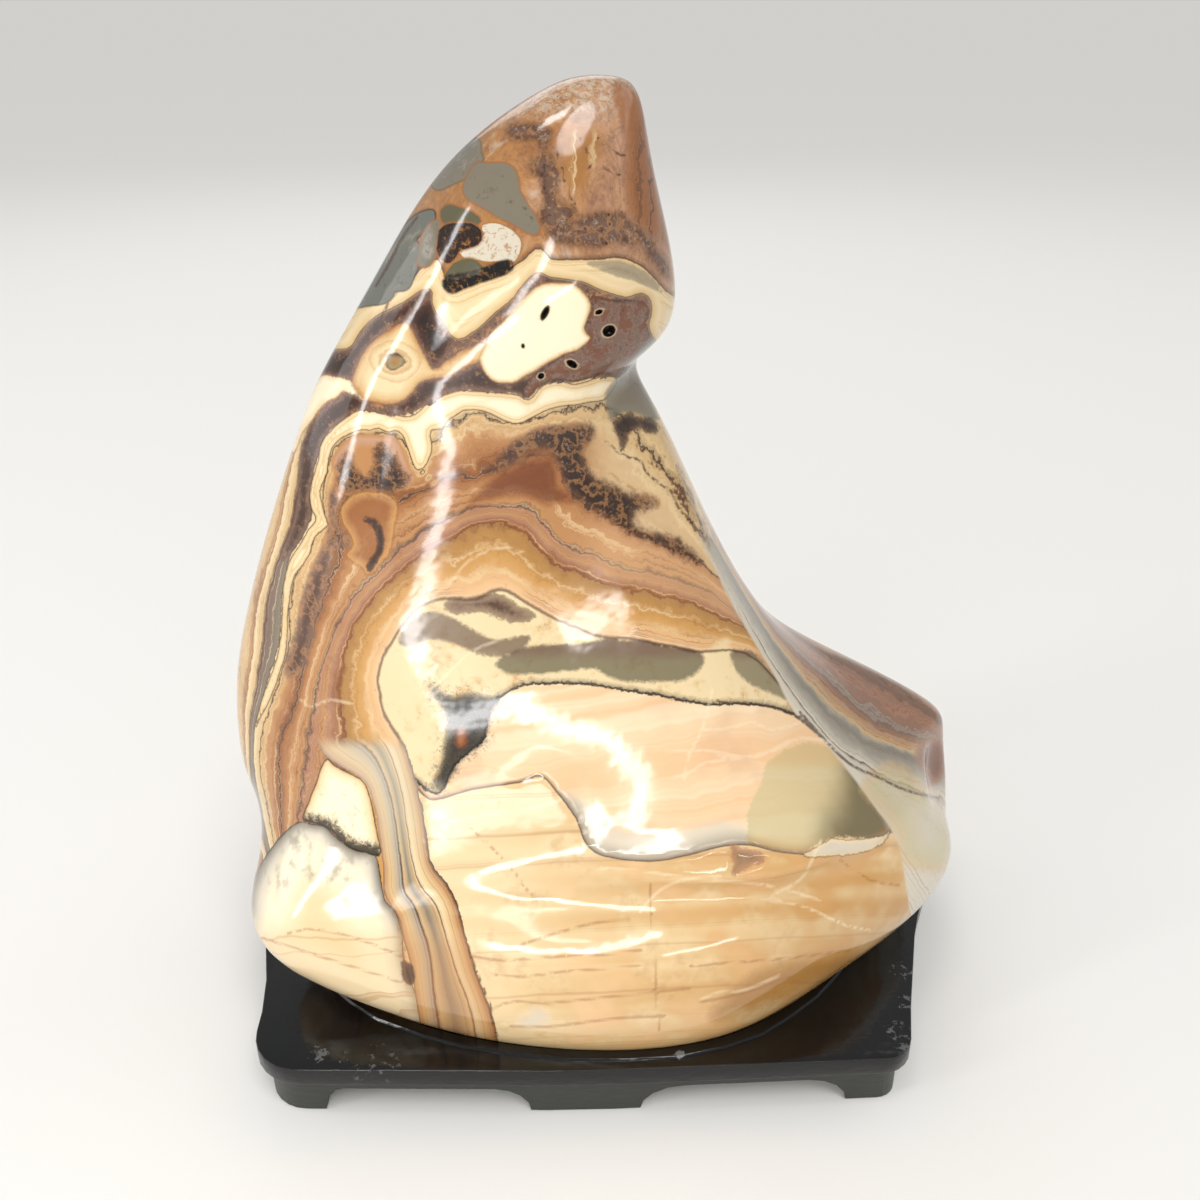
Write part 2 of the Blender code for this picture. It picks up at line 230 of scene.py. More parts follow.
# Closed patches; their fields are below zero inside.
patches = {
    "creamTwo": [
        (618, 379), (606, 376), (596, 378), (585, 382), (572, 384), (560, 381), (548, 383),
        (540, 387), (533, 396), (527, 400), (519, 395), (505, 393), (490, 392), (475, 391),
        (462, 390), (450, 393), (438, 397), (428, 402), (420, 410), (412, 416), (402, 416),
        (390, 413), (378, 408), (364, 409), (354, 412), (344, 419), (334, 427), (325, 437),
        (320, 447), (319, 458), (315, 470), (311, 485), (309, 497), (312, 510), (316, 520),
        (308, 530), (300, 545), (291, 557), (286, 572), (283, 590), (282, 610), (281, 635),
        (276, 660), (268, 682), (260, 705), (254, 730), (262, 715), (272, 695), (280, 672),
        (286, 650), (288, 615), (290, 595), (294, 577), (302, 566), (310, 553), (313, 541),
        (321, 531), (328, 525), (325, 515), (322, 502), (320, 492), (323, 483), (327, 472),
        (329, 458), (333, 447), (339, 440), (348, 435), (360, 430), (370, 430), (378, 428),
        (387, 432), (397, 431), (403, 436), (406, 444), (410, 455), (413, 464), (418, 470),
        (425, 467), (429, 459), (432, 449), (431, 440), (430, 432), (436, 429), (440, 433),
        (444, 427), (448, 420), (456, 416), (463, 411), (476, 410), (490, 414), (503, 420),
        (513, 424), (521, 423), (530, 419), (540, 413), (550, 409), (562, 406), (576, 405),
        (590, 402), (602, 401), (610, 394)],
    "blob": [
        (542, 285), (560, 284), (575, 286), (587, 298), (590, 308), (586, 320), (583, 330),
        (590, 338), (586, 343), (575, 350), (565, 353), (555, 358), (545, 363), (535, 370),
        (525, 375), (515, 381), (503, 382), (492, 379), (484, 370), (480, 358), (486, 346),
        (490, 336), (497, 328), (506, 320), (516, 308), (530, 293)],
    "creamLeft": [
        (290, 430), (304, 400), (314, 384), (322, 375), (334, 376), (346, 379), (354, 384),
        (362, 391), (366, 401), (358, 400), (350, 394), (344, 391), (336, 397), (326, 402),
        (318, 411), (310, 422), (302, 434), (296, 450), (290, 450)],
    "eyeField": [
        (352, 380), (357, 364), (365, 349), (378, 337), (390, 329), (402, 323), (411, 325),
        (415, 336), (420, 345), (427, 357), (436, 369), (446, 361), (455, 356), (462, 350),
        (474, 346), (484, 342), (487, 352), (480, 362), (468, 366), (458, 371), (448, 377),
        (436, 379), (424, 382), (416, 389), (411, 397), (401, 402), (388, 405), (372, 402),
        (362, 398), (356, 390)],
    "darkWedge": [
        (405, 318), (414, 308), (424, 300), (432, 298), (438, 316), (446, 328), (454, 340),
        (449, 351), (442, 361), (434, 369), (427, 360), (421, 348), (415, 334), (409, 325)],
    "darkBand": [
        (434, 292), (424, 290), (413, 297), (404, 303), (390, 310), (378, 316), (368, 324),
        (360, 334), (353, 346), (343, 350), (333, 351), (322, 360), (310, 376), (324, 375),
        (338, 377), (350, 379), (356, 368), (361, 356), (370, 344), (382, 333), (394, 325),
        (405, 320), (414, 310), (426, 301)],
    "darkCorner": [
        (412, 392), (418, 384), (430, 379), (445, 378), (458, 372), (470, 366), (480, 362),
        (488, 368), (495, 378), (508, 383), (530, 375), (545, 368), (552, 376), (545, 384),
        (536, 390), (528, 399), (515, 394), (490, 391), (462, 389), (445, 393), (432, 399),
        (420, 409), (405, 414), (390, 411), (378, 403), (390, 405), (402, 402)],
    "darkSlope": [
        (362, 398), (350, 394), (343, 392), (340, 399), (332, 402), (324, 408), (314, 420),
        (305, 434), (300, 450), (298, 480), (297, 505), (291, 530), (280, 558), (288, 558),
        (303, 532), (310, 513), (309, 497), (314, 470), (318, 452), (325, 436), (336, 425),
        (352, 412), (366, 408)],
    "speckled": [
        (588, 292), (600, 296), (616, 300), (632, 300), (645, 302), (650, 312), (646, 325),
        (652, 338), (640, 352), (630, 364), (620, 378), (606, 374), (596, 376), (585, 380),
        (572, 383), (560, 380), (548, 383), (538, 388), (530, 398), (522, 394), (528, 380),
        (540, 370), (555, 359), (566, 352), (580, 346), (590, 338), (584, 330), (588, 316),
        (592, 306)],
    "fan": [
        (337, 450), (344, 441), (358, 434), (372, 435), (390, 436), (400, 442), (406, 454),
        (410, 468), (416, 476), (412, 486), (404, 490), (392, 492), (376, 491), (360, 493),
        (346, 495), (338, 488), (335, 474), (331, 462)],
    "fanDark": [
        (342, 458), (350, 452), (354, 468), (366, 476), (376, 464), (374, 450), (382, 445),
        (392, 452), (398, 464), (408, 478), (404, 488), (390, 492), (370, 491), (352, 494),
        (342, 490), (337, 476)],
    "hook": [
        (340, 510), (346, 500), (356, 493), (370, 491), (384, 493), (395, 500), (398, 512),
        (394, 528), (392, 545), (386, 558), (376, 570), (366, 575), (362, 568), (352, 562),
        (346, 556), (352, 545), (350, 534), (342, 524)],
    "hookCore": [
        (361, 519), (368, 516), (377, 520), (383, 530), (384, 545), (380, 558), (374, 568),
        (368, 572), (366, 564), (374, 555), (377, 544), (374, 530), (367, 523)],
    "leftCloud": [
        (333, 488), (338, 500), (335, 516), (342, 528), (352, 544), (342, 546), (332, 552),
        (330, 566), (327, 582), (322, 600), (316, 618), (311, 640), (308, 656), (300, 672),
        (288, 676), (284, 668), (290, 650), (296, 632), (300, 612), (304, 596), (310, 578),
        (316, 562), (322, 552), (326, 540), (330, 528), (328, 512), (330, 498)],
    "rightCloud": [
        (560, 470), (556, 456), (548, 448), (535, 448), (522, 452), (512, 462), (498, 466),
        (486, 476), (492, 466), (502, 454), (512, 444), (524, 438), (536, 430), (552, 428),
        (566, 426), (580, 424), (592, 428), (590, 440), (582, 452), (586, 466), (596, 478),
        (612, 486), (632, 494), (652, 498), (658, 504), (646, 508), (636, 512), (634, 524),
        (642, 532), (660, 534), (678, 540), (692, 552), (700, 562), (684, 556), (664, 546),
        (640, 538), (622, 528), (600, 514), (580, 500), (566, 486)],
    "neckShade": [
        (606, 408), (604, 396), (610, 384), (622, 370), (634, 356), (648, 336), (662, 330),
        (660, 362), (652, 392), (660, 418), (650, 420), (640, 416), (628, 413), (618, 416),
        (611, 424)],
    "neckBlot": [
        (613, 424), (620, 418), (630, 414), (640, 418), (652, 420), (658, 430), (648, 432),
        (640, 428), (630, 430), (626, 440), (622, 450), (619, 438)],
    "toe": [
        (248, 912), (250, 893), (257, 872), (266, 856), (276, 842), (286, 831), (299, 822),
        (312, 824), (324, 826), (334, 835), (345, 844), (358, 851), (375, 854), (381, 880),
        (385, 900), (396, 912), (402, 935), (404, 960), (412, 985), (424, 1030), (380, 1025),
        (300, 990), (240, 960)],
    "triangle": [
        (327, 758), (334, 765), (345, 771), (356, 776), (365, 783), (370, 797), (374, 815),
        (378, 835), (381, 856), (366, 853), (350, 848), (338, 838), (328, 828), (314, 823),
        (302, 820), (308, 803), (315, 785), (321, 768)],
    "wingSpot": [
        (920, 742), (932, 738), (948, 744), (952, 758), (944, 776), (932, 786), (924, 772),
        (916, 758)],
    "lobe": [
        (905, 765), (925, 784), (945, 800), (960, 830), (958, 870), (930, 872), (900, 862),
        (893, 835), (880, 812), (860, 790), (872, 770), (888, 762)],
    "greyBand": [
        (496, 664), (512, 652), (535, 646), (562, 645), (590, 643), (604, 640), (640, 641),
        (660, 645), (685, 648), (702, 655), (704, 664), (694, 675), (680, 681), (650, 682),
        (620, 680), (604, 674), (590, 668), (560, 672), (530, 674), (508, 674)],
    "greyBack": [
        (398, 640), (410, 622), (430, 612), (452, 618), (480, 634), (500, 640), (530, 636),
        (520, 650), (500, 656), (478, 654), (455, 644), (430, 640), (410, 648)],
    "greyRight": [
        (730, 651), (752, 652), (764, 662), (780, 682), (794, 702), (780, 697), (762, 690),
        (744, 680), (734, 666)],
    "paleVein": [
        (708, 652), (722, 640), (730, 640), (728, 660), (724, 690), (716, 716), (704, 740),
        (690, 770), (684, 768), (696, 735), (706, 706), (706, 680)],
    "darkCloud": [
        (444, 606), (452, 599), (468, 600), (482, 596), (498, 594), (510, 600), (520, 608),
        (535, 616), (520, 622), (500, 618), (485, 612), (470, 612), (455, 614)],
    "dendrite": [
        (430, 684), (440, 692), (452, 698), (466, 694), (482, 696), (500, 700), (492, 712),
        (488, 728), (482, 742), (470, 752), (458, 762), (450, 776), (440, 788), (434, 782),
        (440, 768), (444, 752), (446, 736), (446, 720), (442, 706), (434, 696)],
    "dendriteCore": [
        (456, 730), (464, 726), (468, 734), (466, 746), (458, 748), (454, 740)],
    "leafEnd": [
        (765, 768), (776, 756), (795, 746), (815, 744), (840, 752), (864, 778), (888, 812),
        (894, 830), (880, 838), (850, 838), (830, 839), (812, 846), (800, 852), (775, 849),
        (750, 846), (746, 836), (748, 822), (750, 806), (756, 792), (761, 782)],
    "leafUnder": [
        (556, 792), (572, 796), (590, 806), (610, 824), (640, 832), (680, 830), (720, 822),
        (748, 830), (748, 846), (722, 846), (691, 854), (653, 861), (605, 856), (586, 843),
        (576, 818)],
    "chip": [
        (730, 842), (742, 848), (756, 850), (768, 858), (758, 864), (742, 872), (732, 876),
        (733, 862)],
    "lipChip": [
        (802, 855), (812, 849), (824, 842), (832, 838), (845, 840), (862, 839), (878, 836),
        (890, 830), (884, 842), (866, 851), (840, 856), (818, 857)],
    "ribbonPatch": [(402, 962), (410, 964), (414, 974), (412, 984), (404, 980)],
    "rustPeak": [
        (486, 480), (502, 470), (522, 462), (540, 457), (553, 455), (559, 470), (560, 484),
        (570, 494), (580, 503), (564, 503), (548, 507), (530, 500), (514, 497), (498, 500),
        (480, 502), (468, 506), (476, 492)],
    "amberWedge": [
        (712, 1018), (732, 992), (758, 974), (790, 963), (830, 957), (872, 954), (856, 968),
        (830, 976), (800, 986), (770, 1002), (742, 1014)],
    "palePatch": [
        (516, 1022), (526, 1012), (538, 1007), (548, 1012), (552, 1022), (540, 1028),
        (526, 1030)],
    "headStrip": [
        (616, 84), (632, 90), (650, 110), (662, 150), (668, 200), (674, 246), (655, 236),
        (640, 226), (630, 212), (626, 180), (627, 150), (623, 120), (614, 98)],
    "greyCap": [
        (434, 172), (442, 164), (450, 157), (459, 150), (470, 144), (477, 142), (478, 154),
        (480, 160), (471, 170), (462, 177), (450, 182), (438, 187), (432, 180)],
    "greyDome": [
        (466, 186), (472, 173), (478, 166), (490, 166), (505, 166), (513, 172), (516, 182),
        (517, 192), (524, 204), (532, 216), (538, 232), (528, 230), (515, 222), (500, 215),
        (487, 207), (476, 201), (468, 195)],
    "greySliver": [
        (443, 212), (449, 207), (458, 210), (470, 214), (478, 221), (468, 225), (455, 223),
        (445, 221)],
    "darkPane": [
        (442, 230), (450, 226), (460, 226), (470, 226), (478, 231), (479, 240), (470, 245),
        (459, 248), (452, 258), (446, 260), (440, 252), (440, 240)],
    "olivePane": [
        (447, 277), (453, 268), (462, 262), (474, 262), (481, 269), (480, 274), (468, 277),
        (455, 280)],
    "slit": [
        (446, 282), (450, 278), (458, 278), (470, 275), (485, 271), (500, 265), (508, 263),
        (510, 267), (505, 271), (490, 276), (475, 281), (462, 286), (453, 290), (448, 288)],
    "palePane": [
        (461, 250), (470, 247), (480, 243), (488, 234), (484, 228), (495, 226), (510, 232),
        (518, 242), (517, 252), (512, 259), (500, 258), (490, 259), (478, 257), (467, 256)],
    "bluePane": [
        (432, 213), (424, 214), (414, 220), (404, 230), (396, 243), (388, 255), (380, 270),
        (370, 284), (360, 297), (358, 304), (372, 302), (382, 301), (390, 296), (394, 288),
        (406, 287), (412, 274), (417, 262), (420, 250), (414, 243), (413, 238), (420, 232),
        (428, 225), (432, 218)],
    "greyPane": [
        (422, 250), (424, 238), (430, 229), (436, 223), (440, 227), (438, 240), (434, 254),
        (427, 264), (420, 262)],
    "browCloud": [
        (508, 128), (520, 124), (545, 127), (551, 133), (549, 142), (546, 150), (552, 157),
        (556, 165), (558, 180), (557, 200), (565, 203), (574, 212), (566, 225), (555, 232),
        (548, 231), (542, 224), (541, 212), (545, 203), (543, 188), (541, 175), (532, 172),
        (530, 160), (538, 158), (541, 148), (538, 140), (525, 140), (512, 138)],
    "browBand": [
        (548, 236), (560, 228), (575, 221), (590, 216), (605, 214), (622, 215), (632, 222),
        (642, 232), (652, 240), (657, 252), (666, 264), (670, 278), (662, 274), (654, 262),
        (646, 252), (638, 242), (634, 247), (625, 241), (612, 243), (600, 247), (585, 245),
        (570, 244), (555, 242)],
    "ochre": [
        (560, 140), (572, 132), (590, 130), (602, 140), (600, 156), (592, 170), (588, 186),
        (578, 196), (566, 190), (561, 170)],
    "oliveWedge": [
        (583, 262), (600, 261), (616, 260), (630, 264), (645, 272), (658, 284), (664, 294),
        (650, 288), (635, 282), (618, 277), (600, 270)],
}

# The ribbon of grey lines over the toe, from its left line to its right line
ribbonLines = {
    0: [(318, 745), (327, 758), (345, 770), (359, 777), (367, 785), (372, 800), (377, 820),
        (380, 845), (383, 870), (384, 895), (398, 918), (403, 940), (409, 960), (413, 985),
        (419, 1020), (424, 1050)],
    1: [(350, 735), (372, 752), (384, 775), (392, 800), (397, 830), (402, 868), (404, 890),
        (414, 905), (421, 925), (428, 945), (432, 970), (434, 995), (438, 1020), (441, 1050)],
    2: [(365, 722), (385, 745), (395, 768), (402, 795), (407, 830), (412, 860), (420, 885),
        (436, 905), (444, 930), (450, 950), (458, 975), (468, 1000), (474, 1025), (478, 1050)],
    3: [(386, 717), (402, 740), (409, 760), (416, 785), (423, 815), (427, 845), (432, 866),
        (446, 884), (457, 905), (463, 930), (469, 950), (476, 975), (486, 1000), (493, 1020),
        (496, 1036), (500, 1055)],
}

# The streaks of the wing, from the ridge's foot to the upper edge
wingLines = {
    0: [(720, 560), (751, 637), (774, 674), (794, 712), (820, 737), (851, 775), (890, 828),
        (910, 860)],
    1: [(716, 568), (750, 625), (774, 666), (800, 703), (830, 740), (862, 763), (894, 782),
        (935, 797), (960, 806)],
    2: [(724, 560), (760, 622), (790, 665), (822, 705), (852, 730), (884, 748), (920, 758),
        (960, 770)],
    3: [(724, 545), (764, 615), (800, 655), (840, 690), (876, 720), (910, 735), (960, 745)],
    4: [(720, 540), (760, 596), (800, 634), (850, 655), (900, 676), (935, 705), (960, 725)],
}

# Thin lines: one field for each group, the distance to its nearest line
thinLines = {
    "darkLines": [
        [(580, 138), (586, 150), (591, 160), (588, 172)],
        [(598, 138), (606, 146), (614, 152), (625, 156)],
        [(600, 165), (610, 171), (620, 175)],
        [(556, 150), (562, 168), (566, 186), (575, 205)],
        [(605, 440), (612, 447), (620, 453), (630, 458), (640, 460), (645, 470), (655, 480),
         (665, 487), (672, 492), (676, 503), (682, 512), (690, 520), (697, 530)],
        [(560, 476), (568, 490), (580, 500), (592, 508), (604, 516), (618, 520), (630, 534),
         (650, 538), (668, 542), (684, 552), (704, 562)],
        [(468, 945), (474, 965), (482, 985), (490, 1005), (492, 1018), (497, 1036)],
        [(390, 300), (384, 312), (378, 326)],
        [(716, 700), (730, 703), (755, 704), (775, 708), (797, 717), (820, 736)],
        [(800, 712), (825, 740), (850, 764), (880, 778), (905, 790), (938, 798)],
        [(418, 216), (402, 238), (390, 262), (376, 286)],
    ],
    "warmLines": [
        [(606, 470), (622, 482), (636, 490), (652, 496), (658, 502), (656, 508)],
        [(470, 955), (486, 959), (510, 960), (540, 958), (570, 956), (600, 955), (642, 950)],
        [(484, 974), (520, 977), (560, 972), (600, 969), (640, 966)],
        [(488, 1012), (500, 1005), (520, 1001), (545, 1003), (580, 1000), (615, 996),
         (650, 993), (690, 988)],
        [(510, 1026), (545, 1027), (580, 1023), (620, 1018), (665, 1016)],
        [(650, 884), (651, 905), (653, 940), (655, 970), (657, 1000), (659, 1030)],
        [(700, 1002), (730, 996), (760, 988), (790, 976)],
        [(690, 966), (740, 962), (790, 958), (850, 950)],
        [(468, 826), (492, 848), (510, 866), (524, 886), (536, 900)],
        [(286, 934), (310, 929), (340, 934), (372, 944), (400, 956)],
        [(262, 938), (300, 950), (350, 966), (400, 982)],
        [(386, 900), (398, 925), (404, 960), (408, 990)],
        [(630, 920), (600, 922), (560, 932), (520, 945)],
        [(840, 860), (870, 880), (900, 885)],
    ],
    "paleLines": [
        [(672, 778), (690, 772), (705, 763), (740, 758), (775, 750), (800, 738), (830, 742)],
        [(664, 752), (690, 750), (716, 752), (744, 757), (762, 755), (790, 740)],
        [(700, 730), (730, 728), (752, 722), (772, 730), (800, 722)],
        [(712, 690), (702, 730), (690, 752), (684, 780)],
        [(700, 1000), (720, 992), (745, 990), (780, 975)],
        [(600, 868), (650, 872), (700, 880), (760, 884), (820, 900)],
        [(640, 912), (660, 890), (690, 878), (720, 876)],
        [(760, 900), (800, 905), (845, 925), (870, 930)],
        [(820, 840), (812, 860), (800, 880), (770, 896)],
        [(424, 600), (448, 585), (470, 560), (500, 548), (524, 552)],
        [(300, 700), (312, 706), (330, 700), (352, 704)],
        [(430, 690), (452, 670), (474, 650), (500, 640)],
        [(560, 800), (540, 806), (500, 812), (450, 822)],
    ],
}

print("patches ready")

drawing = {
    "curveSteps": 3,       # points between two given ones
    "lineReach": 500.0,    # how far an open line runs on past its ends
    "farthest": 60.0,      # fields are cut off at this distance
    "thinFarthest": 8.0,
    "eye": (395, 361),     # middle of the round rings below the head
    "eyeSquash": 1.3,
    "outerRun": 12.0,      # past the first and the last line of a ladder, to each next number
    "innerRun": 40.0,
    "tiny": 1e-9,
    "narrowest": 1e-6,
    "edgeOn": 0.10,        # how squarely a face must look at viewPlace to be drawn as seen
    "turnedAway": -0.35,
    "backWander": 46.0,
    "backWaves": [
        # 0 across or 1 down, strength, turns along x, y and z for each millimetre, start
        (0, 1.0, (0, 1 / 23, 1 / 31), 0.0), (0, 0.6, (-1 / 17, 0, 1 / 13), 1.3),
        (1, 1.0, (1 / 37, -1 / 29, 0), 0.7), (1, 0.5, (1 / 15, 0, 1 / 19), 0.0)],
}


def viewAxes():
    turn = Euler((math.radians(90 - viewPlace["pitch"]), 0, math.radians(viewPlace["yaw"])))
    low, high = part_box("stand")
    eye = Vector((low.x + viewPlace["right"], low.y + viewPlace["back"], viewPlace["height"]))
    return eye, turn


def seenFrom(points):  # across and down in the picture, for places in metres
    eye, turn = viewAxes()
    local = (points - np.array(eye)) @ np.array(turn.to_matrix())
    half = viewPlace["picture"] / 2
    across = half - viewPlace["focal"] * local[:, 0] / local[:, 2]
    down = half + viewPlace["focal"] * local[:, 1] / local[:, 2]
    return np.stack([across, down], 1)


def sightLine(across, down):  # from viewPlace through a place of the picture
    eye, turn = viewAxes()
    half = viewPlace["picture"] / 2
    local = Vector(((across - half) / viewPlace["focal"], (half - down) / viewPlace["focal"], -1))
    return eye, (turn.to_matrix() @ local).normalized()


def smoothPath(points, closed, reach):  # a soft curve through the given points
    given = np.array(points, float)
    count = len(given)
    path = []
    for index in range(count if closed else count - 1):
        if closed:
            ring = [given[(index + k) % count] for k in (-1, 0, 1, 2)]
        else:
            ring = [given[min(max(index + k, 0), count - 1)] for k in (-1, 0, 1, 2)]
        before, start, end, after = ring
        for step in range(drawing["curveSteps"]):
            t = step / drawing["curveSteps"]
            path.append(0.5 * (2 * start + (end - before) * t
                               + (2 * before - 5 * start + 4 * end - after) * t ** 2
                               + (3 * start - before - 3 * end + after) * t ** 3))
    if closed:
        path.append(path[0])
        return np.array(path)
    path.append(given[-1])
    if reach:
        first = given[0] - given[1]
        last = given[-1] - given[-2]
        path.insert(0, given[0] + first / np.linalg.norm(first) * reach)
        path.append(given[-1] + last / np.linalg.norm(last) * reach)
    return np.array(path)


def distanceField(spots, points, closed, reach=drawing["lineReach"]):
    path = smoothPath(points, closed, reach)
    nearest = np.full(len(spots), np.inf)
    side = np.ones(len(spots))
    inside = np.zeros(len(spots), bool)
    for start, end in zip(path, path[1:]):
        along = end - start
        length = along @ along
        if length < drawing["tiny"]:
            continue
        offset = spots - start
        share = np.clip(offset @ along / length, 0, 1)
        gap = offset - share[:, None] * along
        gap = np.hypot(gap[:, 0], gap[:, 1])
        turn = along[0] * offset[:, 1] - along[1] * offset[:, 0]
        closer = gap < nearest
        nearest = np.where(closer, gap, nearest)
        side = np.where(closer, np.sign(turn), side)
        if closed:
            crosses = (start[1] > spots[:, 1]) != (end[1] > spots[:, 1])
            rise = along[1] if abs(along[1]) > drawing["tiny"] else drawing["tiny"]
            inside ^= crosses & (offset[:, 0] < along[0] * offset[:, 1] / rise)
    return np.where(inside, -nearest, nearest) if closed else nearest * side


def patchField(spots, points):  # only worked out near the patch
    margin = drawing["farthest"]
    low = np.min(points, 0) - margin
    high = np.max(points, 0) + margin
    near = np.all((spots > low) & (spots < high), 1)
    field = np.full(len(spots), margin)
    if near.any():
        field[near] = np.minimum(distanceField(spots[near], points, True), margin)
    return field


def thinField(spots, lines):  # how far off the nearest of some thin lines is
    margin = drawing["thinFarthest"]
    field = np.full(len(spots), margin)
    for points in lines:
        low = np.min(points, 0) - margin
        high = np.max(points, 0) + margin
        near = np.all((spots > low) & (spots < high), 1)
        gap = np.abs(distanceField(spots[near], points, False, 0.0))
        field[near] = np.minimum(field[near], gap)
    return field


def pitField(spots):  # below nought inside the small holes
    field = np.full(len(spots), drawing["thinFarthest"])
    for across, down, wide, tall, turn in stonePits["holes"]:
        side = spots[:, 0] - across
        drop = spots[:, 1] - down
        cos, sin = math.cos(math.radians(turn)), math.sin(math.radians(turn))
        reach = np.hypot((side * cos + drop * sin) * 2 / wide, (drop * cos - side * sin) * 2 / tall)
        field = np.minimum(field, (reach - 1) * min(wide, tall) / 2)
    return field


def ladderField(spots, lines, hand=1):  # runs evenly between neighbouring lines
    numbers = sorted(lines)
    gaps = [hand * distanceField(spots, lines[n], False) for n in numbers]
    field = numbers[0] + gaps[0] / drawing["outerRun"]
    for number, low, high in zip(numbers, gaps, gaps[1:]):
        share = low / np.maximum(low - high, drawing["narrowest"])
        field = np.where(low >= 0, number + np.clip(share, 0, 1), field)
    return np.where(gaps[-1] >= 0, numbers[-1] + gaps[-1] / drawing["innerRun"], field)


def addObject(name, data):
    item = bpy.data.objects.new(name, data)
    bpy.context.scene.collection.objects.link(item)
    return item


def evaluatedCopy(item, name):
    graph = bpy.context.evaluated_depsgraph_get()
    return addObject(name, bpy.data.meshes.new_from_object(item.evaluated_get(graph)))


stoneSizes = {
    "weld": 1e-6,
    "joinAngle": 3.14,     # triangles join into four-sided faces whatever their angle
    "smoothing": 2,
    "grain": 0.00165,      # mesh size
    "quickGrain": 0.0022,
    "sharpest": 55.0,      # degrees; only the rims of the holes are sharper
}


stonePits = {
    "holes": [
        # across, down, width, height and turn in the picture
        (545, 313, 6, 15, 28), (609, 331, 13, 10, -25), (599, 312, 7, 4, -20),
        (572, 364, 11, 6, 25), (541, 376, 6, 5, -30), (523, 346, 3, 4, 0)],
    "depth": 0.0035,
    "segments": 20,
    "rings": 12,
}


def cutPits(stone):  # small natural holes, cut along the line of sight
    graph = bpy.context.evaluated_depsgraph_get()
    surface = BVHTree.FromObject(stone, graph)
    shape = bmesh.new()
    _, turn = viewAxes()
    for across, down, wide, tall, twist in stonePits["holes"]:
        eye, along = sightLine(across, down)
        spot, _, _, far = surface.ray_cast(eye, along)
        reach = far / viewPlace["focal"] / 2
        place = Matrix.Translation(spot) @ turn.to_matrix().to_4x4()
        place = place @ Matrix.Rotation(math.radians(-twist), 4, 'Z')
        place = place @ Matrix.Diagonal((wide * reach, tall * reach, stonePits["depth"], 1.0))
        bmesh.ops.create_uvsphere(shape, u_segments=stonePits["segments"],
                                  v_segments=stonePits["rings"], radius=1.0, matrix=place)
    mesh = bpy.data.meshes.new("pitCutter")
    shape.to_mesh(mesh)
    shape.free()
    cutter = addObject("pitCutter", mesh)
    cut = stone.modifiers.new("Pits", 'BOOLEAN')
    cut.operation = 'DIFFERENCE'
    cut.solver = 'EXACT'
    cut.object = cutter
    pitted = evaluatedCopy(stone, "pittedStone")
    for helper in (stone, cutter):
        bpy.data.objects.remove(helper, do_unlink=True)
    pitted.name = "banded_stone"
    return pitted


def polishedStone():
    rough = evaluatedCopy(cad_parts["stone"], "roughStone")
    shape = bmesh.new()
    shape.from_mesh(rough.data)
    bmesh.ops.remove_doubles(shape, verts=shape.verts, dist=stoneSizes["weld"])
    bmesh.ops.join_triangles(shape, faces=shape.faces,
                             angle_face_threshold=stoneSizes["joinAngle"],
                             angle_shape_threshold=stoneSizes["joinAngle"])
    shape.to_mesh(rough.data)
    shape.free()
    soften = rough.modifiers.new("Soften", 'SUBSURF')
    soften.levels = stoneSizes["smoothing"]
    soften.render_levels = stoneSizes["smoothing"]
    smooth = evaluatedCopy(rough, "smoothStone")
    even = evaluatedCopy(smooth, "evenStone")
    remesh = even.modifiers.new("Even", 'REMESH')
    remesh.mode = 'VOXEL'
    remesh.voxel_size = stoneSizes["grain"]
    fit = even.modifiers.new("Fit", 'SHRINKWRAP')
    fit.target = smooth
    fit.wrap_method = 'NEAREST_SURFACEPOINT'
    stone = evaluatedCopy(even, "banded_stone")
    for helper in (rough, smooth, even):
        bpy.data.objects.remove(helper, do_unlink=True)
    stone = cutPits(stone)
    stone.data.shade_smooth()
    stone.data.set_sharp_from_angle(angle=math.radians(stoneSizes["sharpest"]))
    return stone


relief = {
    "lip": 0.0011,         # how far the leaf stands proud along its lower lip
    "lipRun": [-30.0, -6.0, -2.0, 0.8],
    "lipRise": [0.0, 0.8, 1.0, 0.0],
    "innerStart": 4.0,     # of the field "strata"
    "innerFade": 0.25,
    "lipStart": 500.0,     # across in the picture
    "lipFade": 60.0,
    "ridgeFade": 6.0,
    "chip": -0.0008,
    "chipRun": 3.5,
}


def carveRelief(fields):  # how far each point moves along its normal
    rise = np.interp(fields["lipLine"], relief["lipRun"], relief["lipRise"]) * relief["lip"]
    inner = np.clip((fields["strata"] - relief["innerStart"]) / relief["innerFade"], 0, 1)
    inner = inner * np.clip((fields["across"] - relief["lipStart"]) / relief["lipFade"], 0, 1)
    inner = inner * np.clip(fields["ridgeLine"] / relief["ridgeFade"], 0, 1)
    rise = rise * inner * (1 - fields["away"])
    for name in ("chip", "lipChip"):
        rise = rise + relief["chip"] * np.clip(-fields[name] / relief["chipRun"], 0, 1)
    return rise


